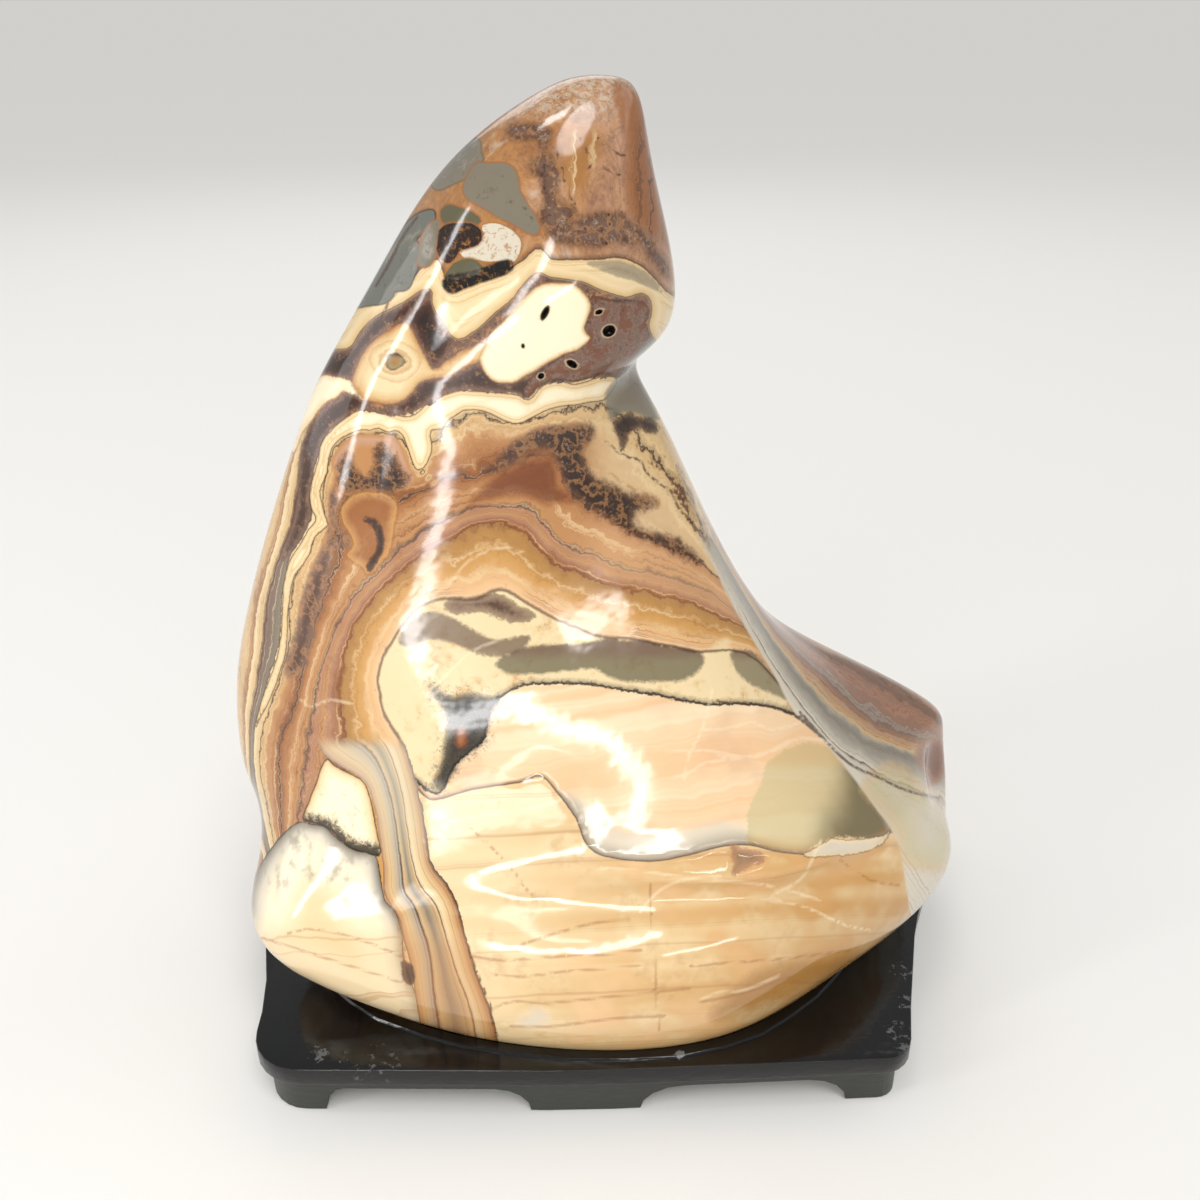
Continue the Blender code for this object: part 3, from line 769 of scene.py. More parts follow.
def drawMarkings(stone):
    mesh = stone.data
    count = len(mesh.vertices)
    places = np.empty(count * 3)
    mesh.vertices.foreach_get("co", places)
    places = places.reshape(-1, 3)
    normals = np.empty(count * 3)
    mesh.vertices.foreach_get("normal", normals)
    normals = normals.reshape(-1, 3)
    eye, _ = viewAxes()
    towards = np.array(eye) - places
    towards /= np.linalg.norm(towards, axis=1)[:, None]
    facing = np.sum(normals * towards, 1)
    away = np.clip((drawing["edgeOn"] - facing) / (drawing["edgeOn"] - drawing["turnedAway"]), 0, 1)
    away = away * away * (3 - 2 * away)
    spots = seenFrom(places)
    wander = drawing["backWander"] * away
    for way, strength, turns, start in drawing["backWaves"]:
        spots[:, way] += wander * strength * np.sin(places * 1000 @ np.array(turns) + start)
    fields = {"away": away, "across": spots[:, 0], "down": spots[:, 1]}
    for name, points in openLines.items():
        fields[name] = np.clip(distanceField(spots, points, False),
                               -drawing["farthest"], drawing["farthest"])
    for name, points in patches.items():
        fields[name] = patchField(spots, points) + away * drawing["farthest"]
    fields["strata"] = ladderField(spots, strataLines)
    for name, lines in thinLines.items():
        fields[name] = thinField(spots, lines) + away * drawing["thinFarthest"]
    fields["pits"] = pitField(spots) + away * drawing["thinFarthest"]
    eyeAcross, eyeDown = drawing["eye"]
    drop = (spots[:, 1] - eyeDown) * drawing["eyeSquash"]
    fields["eyeRings"] = np.hypot(spots[:, 0] - eyeAcross, drop)
    fields["ribbon"] = ladderField(spots, ribbonLines, -1)
    fields["wing"] = ladderField(spots, wingLines, -1)
    places = places + normals * carveRelief(fields)[:, None]
    mesh.vertices.foreach_set("co", places.ravel())
    for name, values in fields.items():
        layer = mesh.attributes.new(name, 'FLOAT', 'POINT')
        layer.data.foreach_set("value", values.astype(np.float32))


stone = polishedStone()
print("stone meshed:", len(stone.data.vertices), "points")
drawMarkings(stone)
print("markings drawn on the stone")

stoneTones = {
    "paleCream": "f1e4c8", "cream": "e3cfa8", "butter": "d2b484", "tan": "b98a5c",
    "caramel": "9c673a", "rust": "7c4520", "umber": "523627", "dark": "33231b",
    "ink": "1a1512", "mauve": "7d6253", "rose": "aa7f64", "peach": "e6c29a",
    "honey": "c79a5c", "amber": "a67c44", "smoke": "857c6c", "slate": "74756c", "moss": "68634c",
    "ochre": "a5763c", "pearl": "d3cab9", "grey": "a49c8e", "blush": "c09a80",
    "olive": "74694a", "reed": "c8bc93",
}

stoneGloss = {"Roughness": 0.1, "IOR": 1.6}
stoneFinish = {"depth": 1.16, "ripple": 0.4, "rippleHeight": 0.0009}

# Scale, detail, roughness, then twist and stretch where they are needed
stoneNoise = {
    "fine": (900.0, 3.0, 0.6),
    "middling": (230.0, 3.0, 0.55),
    "broad": (60.0, 2.0, 0.5),
    "fringe": (560.0, 5.0, 0.75, 0.7),
    "wisps": (70.0, 4.0, 0.7, 1.2, (1.0, 1.0, 0.45)),
    "ripple": (50.0, 3.0, 0.45),
}

# Where a colour comes in, between two places across or down in the picture
pictureSpans = {
    "archSide": (560.0, 620.0), "bandTop": (664.0, 648.0), "lowerHoney": (480.0, 900.0),
    "lowerCream": (620.0, 440.0), "lowerRight": (690.0, 860.0), "lowerBottom": (880.0, 980.0),
    "leafOlive": (1085.0, 1142.0), "leafTip": (772.0, 758.0), "leafTopEnd": (812.0, 790.0),
    "toeCloud": (905.0, 870.0), "toeLow": (905.0, 945.0), "toeMoss": (299.0, 306.0),
    "ribbonTop": (735.0, 752.0), "ribbonPale": (900.0, 800.0), "ribbonTan": (895.0, 960.0),
    "wingTop": (520.0, 560.0), "tangleLow": (440.0, 405.0), "eyeLid": (359.0, 354.0),
    "headLeft": (560.0, 470.0), "headRight": (560.0, 630.0), "stripTop": (110.0, 140.0),
    "pittedHighlightTop": (128.0, 100.0),
}


class StonePaint(Graph):  # layers of colour, each placed by a field of the mesh
    def __init__(self):
        super().__init__("bandedStone")
        self.fine = self.noise(*stoneNoise["fine"]) - 0.5
        self.middling = self.noise(*stoneNoise["middling"]) - 0.5
        self.broad = self.noise(*stoneNoise["broad"]) - 0.5
        self.fringe = self.noise(*stoneNoise["fringe"]) - 0.5
        self.wobble = self.fine * 2.0 + self.middling * 4.0
        self.mottle = self.middling + self.fine + self.fringe * 0.6
        self.across = self.field("across")
        self.down = self.field("down")
        self.colour = None

    def ramp(self, value, low, high, stops):
        span = {0: value, 1: low, 2: high, 3: 0.0, 4: 1.0}
        share = self.node("MapRange", {"clamp": False}, span)
        settings = {"stops": [((n - low) / (high - low), stoneTones[c], a) for n, c, a in stops]}
        return self.node("ValToRGB", settings, {0: share})

    def lay(self, ramp, cover=None):
        amount = ramp.sister("Alpha")
        if cover is not None:
            amount = amount * cover
        self.colour = self.blend(self.colour, ramp, amount)

    def gap(self, name, sway=1.0, ragged=0.0):  # a field with its edge made uneven
        value = self.field(name) + self.wobble * sway
        return value + self.fringe * ragged if ragged else value

    def span(self, value, name):  # 0 to 1 between two places of the picture
        return self.step(value, *pictureSpans[name])

    def edge(self, name, stops, cover=None, sway=1.0, ragged=0.0):  # by distance from an edge
        low = stops[0][0] - 0.01
        high = stops[-1][0] + 0.01
        self.lay(self.ramp(self.gap(name, sway, ragged), low, high, stops), cover)

    def within(self, name, sway=1.0, soft=1.0, ragged=0.0):  # 1 inside a patch
        return self.step(self.gap(name, sway, ragged), soft, -soft)

    def cloud(self, name, core, rim, reach=5.0, cover=None):  # a dark patch that frays out
        mask = self.step(self.gap(name, 3.0, 12.0), reach, -reach * 0.6)
        if cover is not None:
            mask = mask * cover
        deep = self.step(self.gap(name, 2.0, 10.0), 0.0, -9.0)
        self.tint(rim, mask * 0.85)
        self.tint(core, mask * deep * 0.85)
        self.tint("blush", mask * self.step(self.mottle, 0.10, 0.36) * 0.5)
        swirl = self.maths("ABSOLUTE", self.middling + self.broad * 0.6)
        self.tint("tan", mask * self.step(swirl, 0.07, 0.0) * 0.5)

    def beyond(self, name, sway=1.0, soft=1.0):
        return self.step(self.gap(name, sway), -soft, soft)

    def stripes(self, along, scale, code, amount, detail=3.0, low=0.52, high=0.68):
        lines = self.bandNoise(along, scale, detail, 0.7)
        self.tint(code, self.step(lines, low, high) * amount)

    def tint(self, code, amount):
        self.colour = self.blend(self.colour, stoneTones[code], amount)


def paintStrata(paint):
    raw = paint.field("strata")
    sway = paint.broad * 0.25 + paint.middling * 0.45 + paint.fine * 0.12 + paint.fringe * 0.12
    place = raw + sway * (paint.step(raw, 4.0, 3.3) * 0.8 + 0.2)
    paint.colour = paint.ramp(place, -5.0, 5.0, [
        (-5.0, "honey", 1), (-3.5, "butter", 1), (-3.05, "caramel", 1), (-2.95, "cream", 1),
        (-2.3, "butter", 1), (-2.05, "umber", 1), (-1.9, "mauve", 1), (-1.2, "smoke", 1),
        (-1.03, "umber", 1), (-0.95, "cream", 1), (-0.1, "butter", 1), (0.0, "umber", 1),
        (0.07, "butter", 1), (0.4, "tan", 1), (0.85, "caramel", 1), (1.0, "umber", 1),
        (1.06, "caramel", 1), (1.4, "tan", 1), (1.85, "tan", 1), (2.0, "umber", 1),
        (2.05, "rose", 1), (2.4, "tan", 1), (2.6, "rose", 1), (2.92, "caramel", 1),
        (3.0, "rust", 1), (3.05, "amber", 1), (3.5, "honey", 1), (4.0, "peach", 1)])
    thick = paint.step(paint.broad, -0.15, 0.2)
    paint.stripes(place, 9.0, "rust", 0.55 * thick)
    paint.stripes(place + 7.0, 5.0, "cream", 0.5 * (1.0 - thick))
    paint.stripes(place + 3.0, 17.0, "umber", 0.4 * thick, 2.0, 0.56, 0.64)
    paint.tint("rust", paint.step(paint.fringe + paint.middling, 0.12, 0.36) * 0.35)
    side = paint.span(paint.across, "archSide") * paint.step(place, 0.05, 0.2)
    paint.tint("cream", side * paint.step(place, 1.0, 0.9) * 0.55)
    paint.tint("peach", side * paint.step(place, 1.02, 1.1) * paint.step(place, 3.9, 1.4) * 0.35)
    return place


def paintCentre(paint, place):  # cloudy clear stone between the arch and the leaf
    inner = paint.step(place, 3.97, 4.03)
    paint.tint("cream", inner)
    cloud = paint.broad + paint.middling
    paint.tint("butter", inner * paint.step(cloud, 0.0, 0.3) * 0.6)
    paint.tint("tan", inner * paint.step(cloud + paint.fringe, 0.15, 0.4) * 0.5)
    down = paint.down + paint.middling * 14.0
    for name, cover in (("greyBand", 0.95), ("greyBack", 0.75), ("greyRight", 0.85)):
        soft = paint.within(name, 1.6, 2.5, 7.0)
        paint.tint("moss", soft * cover * 0.85)
        paint.tint("mauve", soft * paint.span(down, "bandTop") * cover * 0.75)
    paint.tint("cream", paint.within("paleVein", 2.0, 5.0) * 0.8)
    paint.edge("darkCloud", [(-9, "umber", 0.95), (-4, "mauve", 0.85), (0, "umber", 0.6),
                             (2, "umber", 0)], None, 1.2, 10.0)
    line = paint.step(place, 3.92, 3.99) * paint.step(place, 4.06, 3.99)
    paint.tint("umber", line * 0.75)


def paintLower(paint, place):  # warm lower body, with faint level lines
    lower = paint.step(place, 3.97, 4.03) * paint.beyond("lipLine", 0.3, 0.7)
    paint.tint("butter", lower)
    paint.tint("peach", lower * paint.step(paint.broad, 0.1, -0.2) * 0.7)
    across = paint.across + paint.broad * 60.0
    level = paint.down + paint.across * 0.05 + paint.broad * 16.0
    paint.tint("honey", lower * paint.span(across, "lowerHoney") * 0.75)
    paint.tint("cream", lower * paint.span(across, "lowerCream") * 0.75)
    pale = paint.step(paint.bandNoise(level, 0.022, 2.0, 0.5) + paint.broad * 0.8, 0.42, 0.7)
    paint.tint("cream", lower * pale * 0.75)
    paint.tint("tan", lower * paint.step(paint.broad - paint.middling * 0.6, 0.05, 0.3) * 0.35)
    calm = paint.down + paint.across * 0.05 + paint.broad * 5.0
    lines = paint.bandNoise(calm, 0.06, 3.0, 0.7)
    paint.tint("caramel", lower * paint.step(lines, 0.56, 0.72) * 0.3)
    right = paint.span(across, "lowerRight") * paint.span(level, "lowerBottom")
    paint.tint("amber", lower * right * 0.4)
    paint.edge("amberWedge", [(-9, "amber", 0.85), (-2, "amber", 0.55), (8, "amber", 0)],
               lower, 2.0, 6.0)
    paint.edge("palePatch", [(-6, "pearl", 0.7), (5, "cream", 0)], lower, 3.0, 8.0)


def paintLeaf(paint, place):
    inner = paint.step(place, 3.97, 4.03)
    leaf = paint.beyond("leafTop", 0.4, 0.7) * (1.0 - paint.beyond("lipLine", 0.3, 0.7))
    leaf = leaf * inner
    paint.tint("peach", leaf)
    level = paint.down + paint.across * 0.15 + paint.broad * 30.0
    lines = paint.bandNoise(level, 0.026, 3.0, 0.55)
    paint.tint("paleCream", leaf * paint.step(lines, 0.4, 0.66) * 0.6)
    paint.tint("blush", leaf * paint.step(paint.broad, 0.02, 0.25) * 0.25)
    under = paint.within("leafUnder", 1.5, 8.0)
    paint.tint("pearl", leaf * under * 0.8)
    # painted shade: the leaf grows darker towards its lower lip, where its edge rolls down
    paint.tint("smoke", leaf * under * paint.step(paint.field("lipLine"), -20.0, 0.0) * 0.6)
    tip = paint.within("leafEnd", 2.2, 2.0, 4.0)
    paint.tint("reed", leaf * tip * 0.7)
    side = paint.across + paint.down * 0.35 + paint.broad * 40.0
    paint.tint("olive", leaf * tip * paint.span(side, "leafOlive") * 0.9)
    paint.tint("butter", leaf * tip * paint.span(paint.down, "leafTip") * 0.6)
    paint.tint("amber", leaf * tip * paint.step(paint.field("lipLine"), -14.0, -1.0) * 0.5)
    # painted shadow: a dark line under the overhanging lower lip of the leaf
    paint.edge("lipLine", [(-5, "smoke", 0), (-1.6, "umber", 0.5), (0, "dark", 0.85),
                           (1.2, "umber", 0)], inner, 0.3)
    seen = inner * paint.span(paint.across, "leafTopEnd")
    paint.edge("leafTop", [(-7, "ink", 0), (-3.0, "ink", 0.4), (-1, "ink", 0.95),
                           (0.3, "ink", 0.9), (1.3, "umber", 0)], seen, 0.4, 9.0)


def paintChips(paint):
    paint.edge("chip", [(-8, "mauve", 0.7), (-1, "rose", 0.7), (1.5, "tan", 0)], None, 2.0, 5.0)
    paint.edge("lipChip", [(-5, "pearl", 0.9), (-1, "cream", 0.9), (0.4, "umber", 0.5),
                           (1.2, "umber", 0)], None, 1.2, 3.0)
    paint.edge("lobe", [(-40, "pearl", 0.8), (-14, "reed", 0.7), (-4, "butter", 0.5),
                        (4, "butter", 0)], None, 2.0)


def paintToe(paint):
    paint.edge("toe", [
        (-60, "cream", 1), (-34, "paleCream", 1), (-20, "paleCream", 1), (-10, "pearl", 1),
        (-4, "grey", 1), (-1.2, "smoke", 1), (-0.3, "ink", 1), (0.9, "ink", 0)], None, 0.4)
    toe = paint.within("toe", 0.5)
    cloud = paint.step(paint.broad + paint.middling, 0.0, 0.3)
    cloud = cloud * paint.span(paint.down, "toeCloud")
    paint.tint("grey", toe * cloud * 0.7)
    level = paint.down + paint.broad * 16.0
    low = paint.span(level, "toeLow") * toe
    paint.tint("butter", low * 0.5)
    lines = paint.bandNoise(level, 0.09, 3.0, 0.7)
    paint.tint("tan", low * paint.step(lines, 0.57, 0.68) * 0.4)
    paint.edge("triangle", [
        (-14, "paleCream", 1), (-4, "cream", 1), (-1.4, "butter", 1), (-0.6, "umber", 1),
        (0.8, "umber", 0)], None, 0.5)
    inside = paint.within("triangle", 0.5)
    paint.tint("butter", inside * paint.step(paint.middling + paint.fine, 0.1, 0.3) * 0.5)
    moss = inside * paint.step(paint.gap("toe", 0.5, 26.0), 13.0, 3.0)
    paint.tint("ink", moss * paint.span(paint.across, "toeMoss") * 0.9)


def paintRibbon(paint):
    place = paint.field("ribbon") + paint.wobble * 0.02
    down = paint.down + paint.broad * 20.0
    held = paint.step(place, 0.0, 0.03) * paint.step(place, 3.03, 3.0)
    held = held * paint.span(paint.down, "ribbonTop")
    band = paint.ramp(place, -0.1, 3.1, [
        (-0.1, "umber", 1), (0.02, "umber", 1), (0.07, "tan", 1), (0.4, "butter", 1),
        (0.9, "grey", 1), (0.98, "umber", 1), (1.02, "umber", 1), (1.06, "butter", 1),
        (1.5, "smoke", 1), (1.94, "butter", 1), (1.98, "mauve", 1), (2.02, "mauve", 1),
        (2.07, "cream", 1), (2.5, "butter", 1), (2.85, "tan", 1), (2.97, "umber", 1),
        (3.1, "umber", 1)])
    paint.lay(band, held)
    paint.stripes(place + 20.0, 8.0, "mauve", held * 0.4, 2.0, 0.58, 0.66)
    paint.tint("pearl", held * paint.span(down, "ribbonPale") * 0.4)
    paint.tint("tan", held * paint.span(down, "ribbonTan") * 0.45)
    paint.edge("ribbonPatch", [(-3, "umber", 0.9), (0, "umber", 0.8), (2, "umber", 0)])


def paintDendrite(paint):
    hairs = paint.step(paint.fringe, -0.02, 0.12)
    reach = paint.step(paint.gap("dendrite", 1.5, 10.0), 16.0, -2.0)
    paint.tint("ink", reach * hairs * 0.75)
    paint.edge("dendrite", [(-9, "ink", 0.95), (-3, "ink", 0.85), (0, "ink", 0.5),
                            (3, "ink", 0)], None, 1.0, 18.0)
    paint.edge("dendriteCore", [(-5, "caramel", 1), (-1, "rust", 0.8), (2, "rust", 0)],
               None, 1.0, 4.0)


def paintWing(paint):
    side = 1.0 - paint.beyond("ridgeLine", 0.3, 1.5)
    side = side * paint.span(paint.down, "wingTop")
    place = paint.field("wing") + paint.middling * 0.35 + paint.broad * 0.4
    paint.lay(paint.ramp(place, 0.0, 5.0, [
        (0.0, "pearl", 1), (0.8, "pearl", 1), (0.96, "grey", 1), (1.0, "umber", 1),
        (1.06, "pearl", 1), (1.6, "grey", 1), (1.95, "smoke", 1), (2.1, "grey", 1),
        (2.25, "butter", 1), (2.6, "tan", 1), (3.0, "mauve", 1), (3.4, "rose", 1),
        (3.7, "mauve", 1), (4.1, "tan", 1), (4.6, "butter", 1)]), side)
    high = side * paint.step(place, 2.1, 2.4)
    paint.stripes(place, 9.0, "umber", high * 0.55)
    paint.stripes(place + 9.0, 6.0, "grey", side * 0.65)
    paint.stripes(place + 4.0, 13.0, "rose", high * 0.4)
    paint.stripes(place + 2.0, 21.0, "caramel", high * 0.5, 4.0, 0.54, 0.62)
    paint.edge("wingSpot", [(-8, "rust", 0.95), (-2, "caramel", 0.8), (3, "caramel", 0)],
               None, 1.0, 8.0)


def paintTangle(paint, place):  # brown and cream between the two cream bands
    zone = paint.beyond("creamOneLow", 0.6) * paint.step(place, -0.98, -1.02)
    zone = zone * paint.span(paint.down + paint.broad * 40.0, "tangleLow")
    paint.tint("mauve", zone)
    mottle = paint.mottle
    paint.tint("tan", zone * paint.step(mottle, 0.0, 0.2) * 0.7)
    paint.tint("umber", zone * paint.step(mottle, -0.05, -0.3) * 0.8)
    paint.edge("creamLeft", [(-6, "paleCream", 1), (-1, "cream", 1), (0.5, "tan", 0.8),
                             (2, "tan", 0)])
    paint.edge("eyeField", [(-14, "cream", 1), (-5, "butter", 1), (-1, "tan", 1),
                            (2, "umber", 0)], None, 1.2, 4.0)
    rings = paint.within("eyeField", 1.2)
    ringPlace = paint.field("eyeRings") + paint.wobble * 2.0 + paint.broad * 14.0
    paint.lay(paint.ramp(ringPlace, 0.0, 40.0, [
        (0.0, "olive", 0.9), (5.0, "ochre", 0.9), (9.0, "olive", 0.7), (11.0, "umber", 0.8),
        (12.5, "butter", 0.6), (16.0, "tan", 0.6), (19.0, "cream", 0.2), (26.0, "tan", 0.4),
        (28.0, "cream", 0.0)]), rings)
    lid = paint.span(paint.down, "eyeLid") * paint.step(ringPlace, 15.0, 11.0)
    paint.tint("umber", rings * lid * 0.8)
    for name in ("darkBand", "darkCorner", "darkSlope", "darkWedge"):
        paint.edge(name, [(-12, "dark", 1), (-5, "umber", 1), (-1, "mauve", 0.9),
                          (1.2, "umber", 0)], None, 1.0, 10.0)
        paint.tint("tan", paint.within(name) * paint.step(mottle, 0.1, 0.35) * 0.4)
    paint.edge("speckled", [(-20, "mauve", 1), (-4, "mauve", 1), (-1, "umber", 1),
                            (0.8, "dark", 0)], None, 0.8, 3.0)
    spotted = paint.within("speckled")
    paint.tint("rust", spotted * paint.step(paint.middling, -0.1, 0.15) * 0.7)
    swirl = paint.maths("ABSOLUTE", paint.middling + paint.fine * 0.5)
    paint.tint("grey", spotted * paint.step(swirl, 0.04, 0.0) * 0.3)
    paint.tint("dark", spotted * paint.step(paint.fringe, 0.05, 0.2) * 0.7)
    paint.edge("blob", [(-12, "paleCream", 1), (-4, "paleCream", 1), (-1.5, "cream", 1),
                        (-0.2, "butter", 1), (2.0, "caramel", 0)], None, 0.7, 2.0)


def paintCreamTwo(paint):
    paint.edge("fan", [(-14, "tan", 1), (-5, "blush", 1), (-1, "tan", 1), (1.5, "tan", 0)])
    paint.cloud("fanDark", "dark", "umber", 5.0)
    paint.edge("rustPeak", [(-14, "rust", 0.95), (-6, "rust", 0.8), (-1, "caramel", 0.6),
                            (4, "tan", 0)], None, 1.5, 5.0)
    paint.cloud("leftCloud", "umber", "mauve")
    paint.cloud("rightCloud", "dark", "umber", 6.0)
    paint.edge("hook", [(-10, "caramel", 0.8), (-5, "tan", 0.8), (-2, "honey", 0.8),
                        (0, "caramel", 0.6), (3, "tan", 0)], None, 1.5)
    paint.edge("hookCore", [(-4, "dark", 1), (-1, "umber", 0.9), (1.2, "umber", 0)],
               None, 0.7, 6.0)
    paint.edge("creamTwo", [(-9, "paleCream", 1), (-5, "cream", 1), (-4, "butter", 1),
                            (-3, "cream", 1), (-0.9, "butter", 1), (-0.3, "umber", 0.9),
                            (0.9, "umber", 0)], None, 0.6)


def paintNeck(paint):
    # painted shade and painted reflection: grey-lavender over the hollow at the right of the neck
    paint.edge("neckShade", [(-12, "smoke", 0.95), (-3, "slate", 0.8), (1, "umber", 0)], None, 0.7)
    # darker patch in the hollow under the chin
    paint.edge("neckBlot", [(-4, "dark", 0.95), (0, "umber", 0.8), (3, "umber", 0)],
               None, 1.0, 10.0)


def paintHead(paint):
    head = 1.0 - paint.beyond("headLine", 0.5, 0.8)
    across = paint.across + paint.middling * 16.0
    cloud = paint.broad * 1.4 + paint.middling * 0.7
    mottle = paint.mottle
    paint.tint("tan", head)
    paint.tint("blush", head * paint.step(cloud, 0.05, -0.25) * 0.8)
    paint.tint("caramel", head * paint.step(cloud, 0.0, 0.35) * 0.75)
    drift = paint.across + paint.broad * 80.0
    left = paint.span(drift, "headLeft")
    paint.tint("blush", head * paint.span(drift, "headRight") * 0.6)
    paint.tint("ochre", head * left * 0.55)
    paint.tint("mauve", head * paint.step(mottle, 0.0, 0.35) * 0.55)
    wisps = paint.noise(*stoneNoise["wisps"]) - 0.5
    paint.tint("mauve", head * paint.step(paint.maths("ABSOLUTE", wisps), 0.05, 0.0) * 0.35)
    paint.tint("pearl", head * paint.step(wisps, 0.05, 0.25) * 0.5)
    paint.edge("ochre", [(-9, "ochre", 0.75), (6, "ochre", 0)], head, 1.5, 6.0)
    grain = paint.bandNoise(across, 0.09, 3.0, 0.7)
    low = paint.span(paint.down, "stripTop")
    # painted highlight: pearl mottle over the top of the head, with small dark pits
    wearAndHighlight = head * paint.span(paint.down + paint.middling * 30.0, "pittedHighlightTop")
    paint.tint("pearl", wearAndHighlight * paint.step(paint.fringe, -0.1, 0.1) * 0.6)
    paint.tint("umber", wearAndHighlight * paint.step(paint.fringe, 0.12, 0.2) * 0.5)
    paint.tint("cream", paint.within("ochre", 1.0, 5.0) * paint.step(grain, 0.54, 0.68) * 0.55)
    paint.edge("headStrip", [(-9, "caramel", 0.9), (-2, "caramel", 0.7), (5, "rust", 0)],
               head, 1.5, 4.0)
    strip = paint.within("headStrip", 1.0, 3.0)
    paint.tint("dark", strip * paint.step(grain, 0.5, 0.66) * low * 0.6)
    for name in ("browCloud", "browBand"):
        paint.cloud(name, "mauve", "umber", 7.0, head)
        inside = head * paint.within(name, 3.0, 4.0)
        paint.tint("grey", inside * paint.step(mottle, 0.05, 0.3) * 0.6)
        paint.tint("dark", inside * paint.step(mottle, -0.08, -0.35) * 0.7)
    crown = paint.beyond("headLine", 0.5, 0.8) * (1.0 - paint.beyond("creamOneLow", 0.5, 0.8))
    paint.tint("cream", crown)
    paint.stripes(paint.field("headLine") + paint.wobble, 0.13, "butter", crown * 0.7,
                  2.0, 0.5, 0.62)
    paint.edge("creamOneLow", [(-16, "butter", 0), (-9, "cream", 0.8), (-2, "butter", 1),
                               (-0.8, "umber", 0.9), (0.8, "umber", 0)], None, 0.5)
    paint.edge("headLine", [(-5, "umber", 0), (-1, "umber", 0.5), (0, "umber", 0.9),
                            (0.9, "umber", 0.7), (1.6, "cream", 0)], None, 0.5, 3.0)
    paint.edge("oliveWedge", [(-6, "smoke", 0.75), (-1, "smoke", 0.6), (1, "smoke", 0)], crown)


def paintPanes(paint):  # angular grey fragments on the left of the head
    light = paint.step(paint.broad + paint.middling * 0.4, -0.1, 0.25)
    for name, inner, rim in (
            ("greyCap", "smoke", "moss"), ("greyDome", "smoke", "caramel"),
            ("greySliver", "moss", "caramel"), ("bluePane", "slate", "dark"),
            ("greyPane", "smoke", "caramel"), ("palePane", "pearl", "ochre"),
            ("darkPane", "dark", "caramel"), ("olivePane", "moss", "ochre"),
            ("slit", "ink", "ink")):
        paint.edge(name, [(-6, inner, 1), (2.2, inner, 1), (3.2, rim, 0.85), (5.2, rim, 0)],
                   None, 0.4, 2.0)
    for name in ("greyDome", "greyCap", "bluePane", "greyPane", "olivePane"):
        inside = paint.within(name, 0.5)
        paint.tint("slate", inside * light * 0.7)
        paint.tint("grey", inside * paint.step(paint.broad - paint.middling, 0.05, 0.3) * 0.6)
        paint.tint("dark", inside * paint.step(paint.mottle, -0.1, -0.4) * 0.5)
    hairs = paint.step(paint.fringe, 0.02, 0.14)
    for name in ("darkPane", "palePane", "slit"):
        close = paint.step(paint.field(name), 9.0, 0.0)
        paint.tint("ochre", close * hairs * 0.7)


def paintFineLines(paint):
    for name, code, width, cover in (
            ("darkLines", "umber", 2.4, 0.8), ("warmLines", "caramel", 2.6, 0.45),
            ("paleLines", "paleCream", 2.8, 0.35)):
        gap = paint.field(name) + paint.wobble * 0.15
        paint.tint(code, paint.step(gap, width, 0.4) * cover)
    paint.edge("pits", [(-2.0, "ink", 1), (-0.8, "ink", 0.95), (0.2, "umber", 0.7),
                        (1.2, "cream", 0.5), (2.4, "cream", 0)], None, 0.15)


def stonePaint():
    paint = StonePaint()
    place = paintStrata(paint)
    paintCentre(paint, place)
    paintLower(paint, place)
    paintLeaf(paint, place)
    paintDendrite(paint)
    paintToe(paint)
    paintRibbon(paint)
    paintWing(paint)
    paintChips(paint)
    paintCreamTwo(paint)
    paintTangle(paint, place)
    paintNeck(paint)
    paintHead(paint)
    paintPanes(paint)
    paintFineLines(paint)
    deep = paint.node("Gamma", None, {0: paint.colour, 1: stoneFinish["depth"]})
    paint.feed(paint.shader.inputs["Base Color"], deep)
    sockets = {"Strength": stoneFinish["ripple"], "Distance": stoneFinish["rippleHeight"],
               "Height": paint.noise(*stoneNoise["ripple"])}
    paint.feed(paint.shader.inputs["Normal"], paint.node("Bump", None, sockets))
    for name, value in stoneGloss.items():
        paint.feed(paint.shader.inputs[name], value)
    return paint.material


stone.data.materials.clear()
stone.data.materials.append(stonePaint())
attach(stone, "root")
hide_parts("stone")
print("stone painted")

lacquer = {
    "coat": "0a0b0c",
    # apron: lighter olive-grey, partly the duller lacquer's own tone and partly painted reflection
    # of the room
    "apron": "2b2d28",
    "dust": "6c6f6e",
    "bareEdge": "5d6468",
    "flatAngle": 0.5,      # degrees
    "softEdge": 0.0007,    # metres
    "edgeSegments": 3,
    "edgeAngle": 40.0,
    "smoothAngle": 62.0,
    "apronTop": 0.0145,    # below this height the lacquer is duller
    "apronFade": 0.001,
    "apronGloss": 0.42,
    "gloss": 0.12,
    "noseTop": 0.0238,
    "noseFade": 0.001,
    "noseHaze": 0.16,
    "hazeBlots": (0.35, 0.7),
    "haze": 0.05,
    "wornLift": 0.22,
    "wornFade": 0.3,
    "wornHaze": 0.3,
    "brokenBlots": (0.62, 0.70),
    "brokenCover": 0.55,
    "dustSpecks": (0.70, 0.76),
    "dustCover": 0.35,
    "speckScale": 1500.0,
    "blotScale": 420.0,
    "rippleScale": 140.0,
    "ripple": 0.35,
    "rippleHeight": 0.0006,
    "patches": [
        # across and down in the picture, radius in metres, how much is worn there
        (320, 1051, 0.0056, 0.6), (342, 1056, 0.004, 0.4), (372, 1064, 0.016, 0.22),
        (903, 1070, 0.007, 0.6), (905, 1000, 0.006, 0.55), (902, 970, 0.007, 0.45),
        (898, 1030, 0.008, 0.35), (906, 1045, 0.006, 0.5)],
    "patchCore": 0.3,      # share of the radius
    "chip": (680, 1054, 0.0022),
    "chipCore": 0.6,
    "chipRagged": 0.004,
}


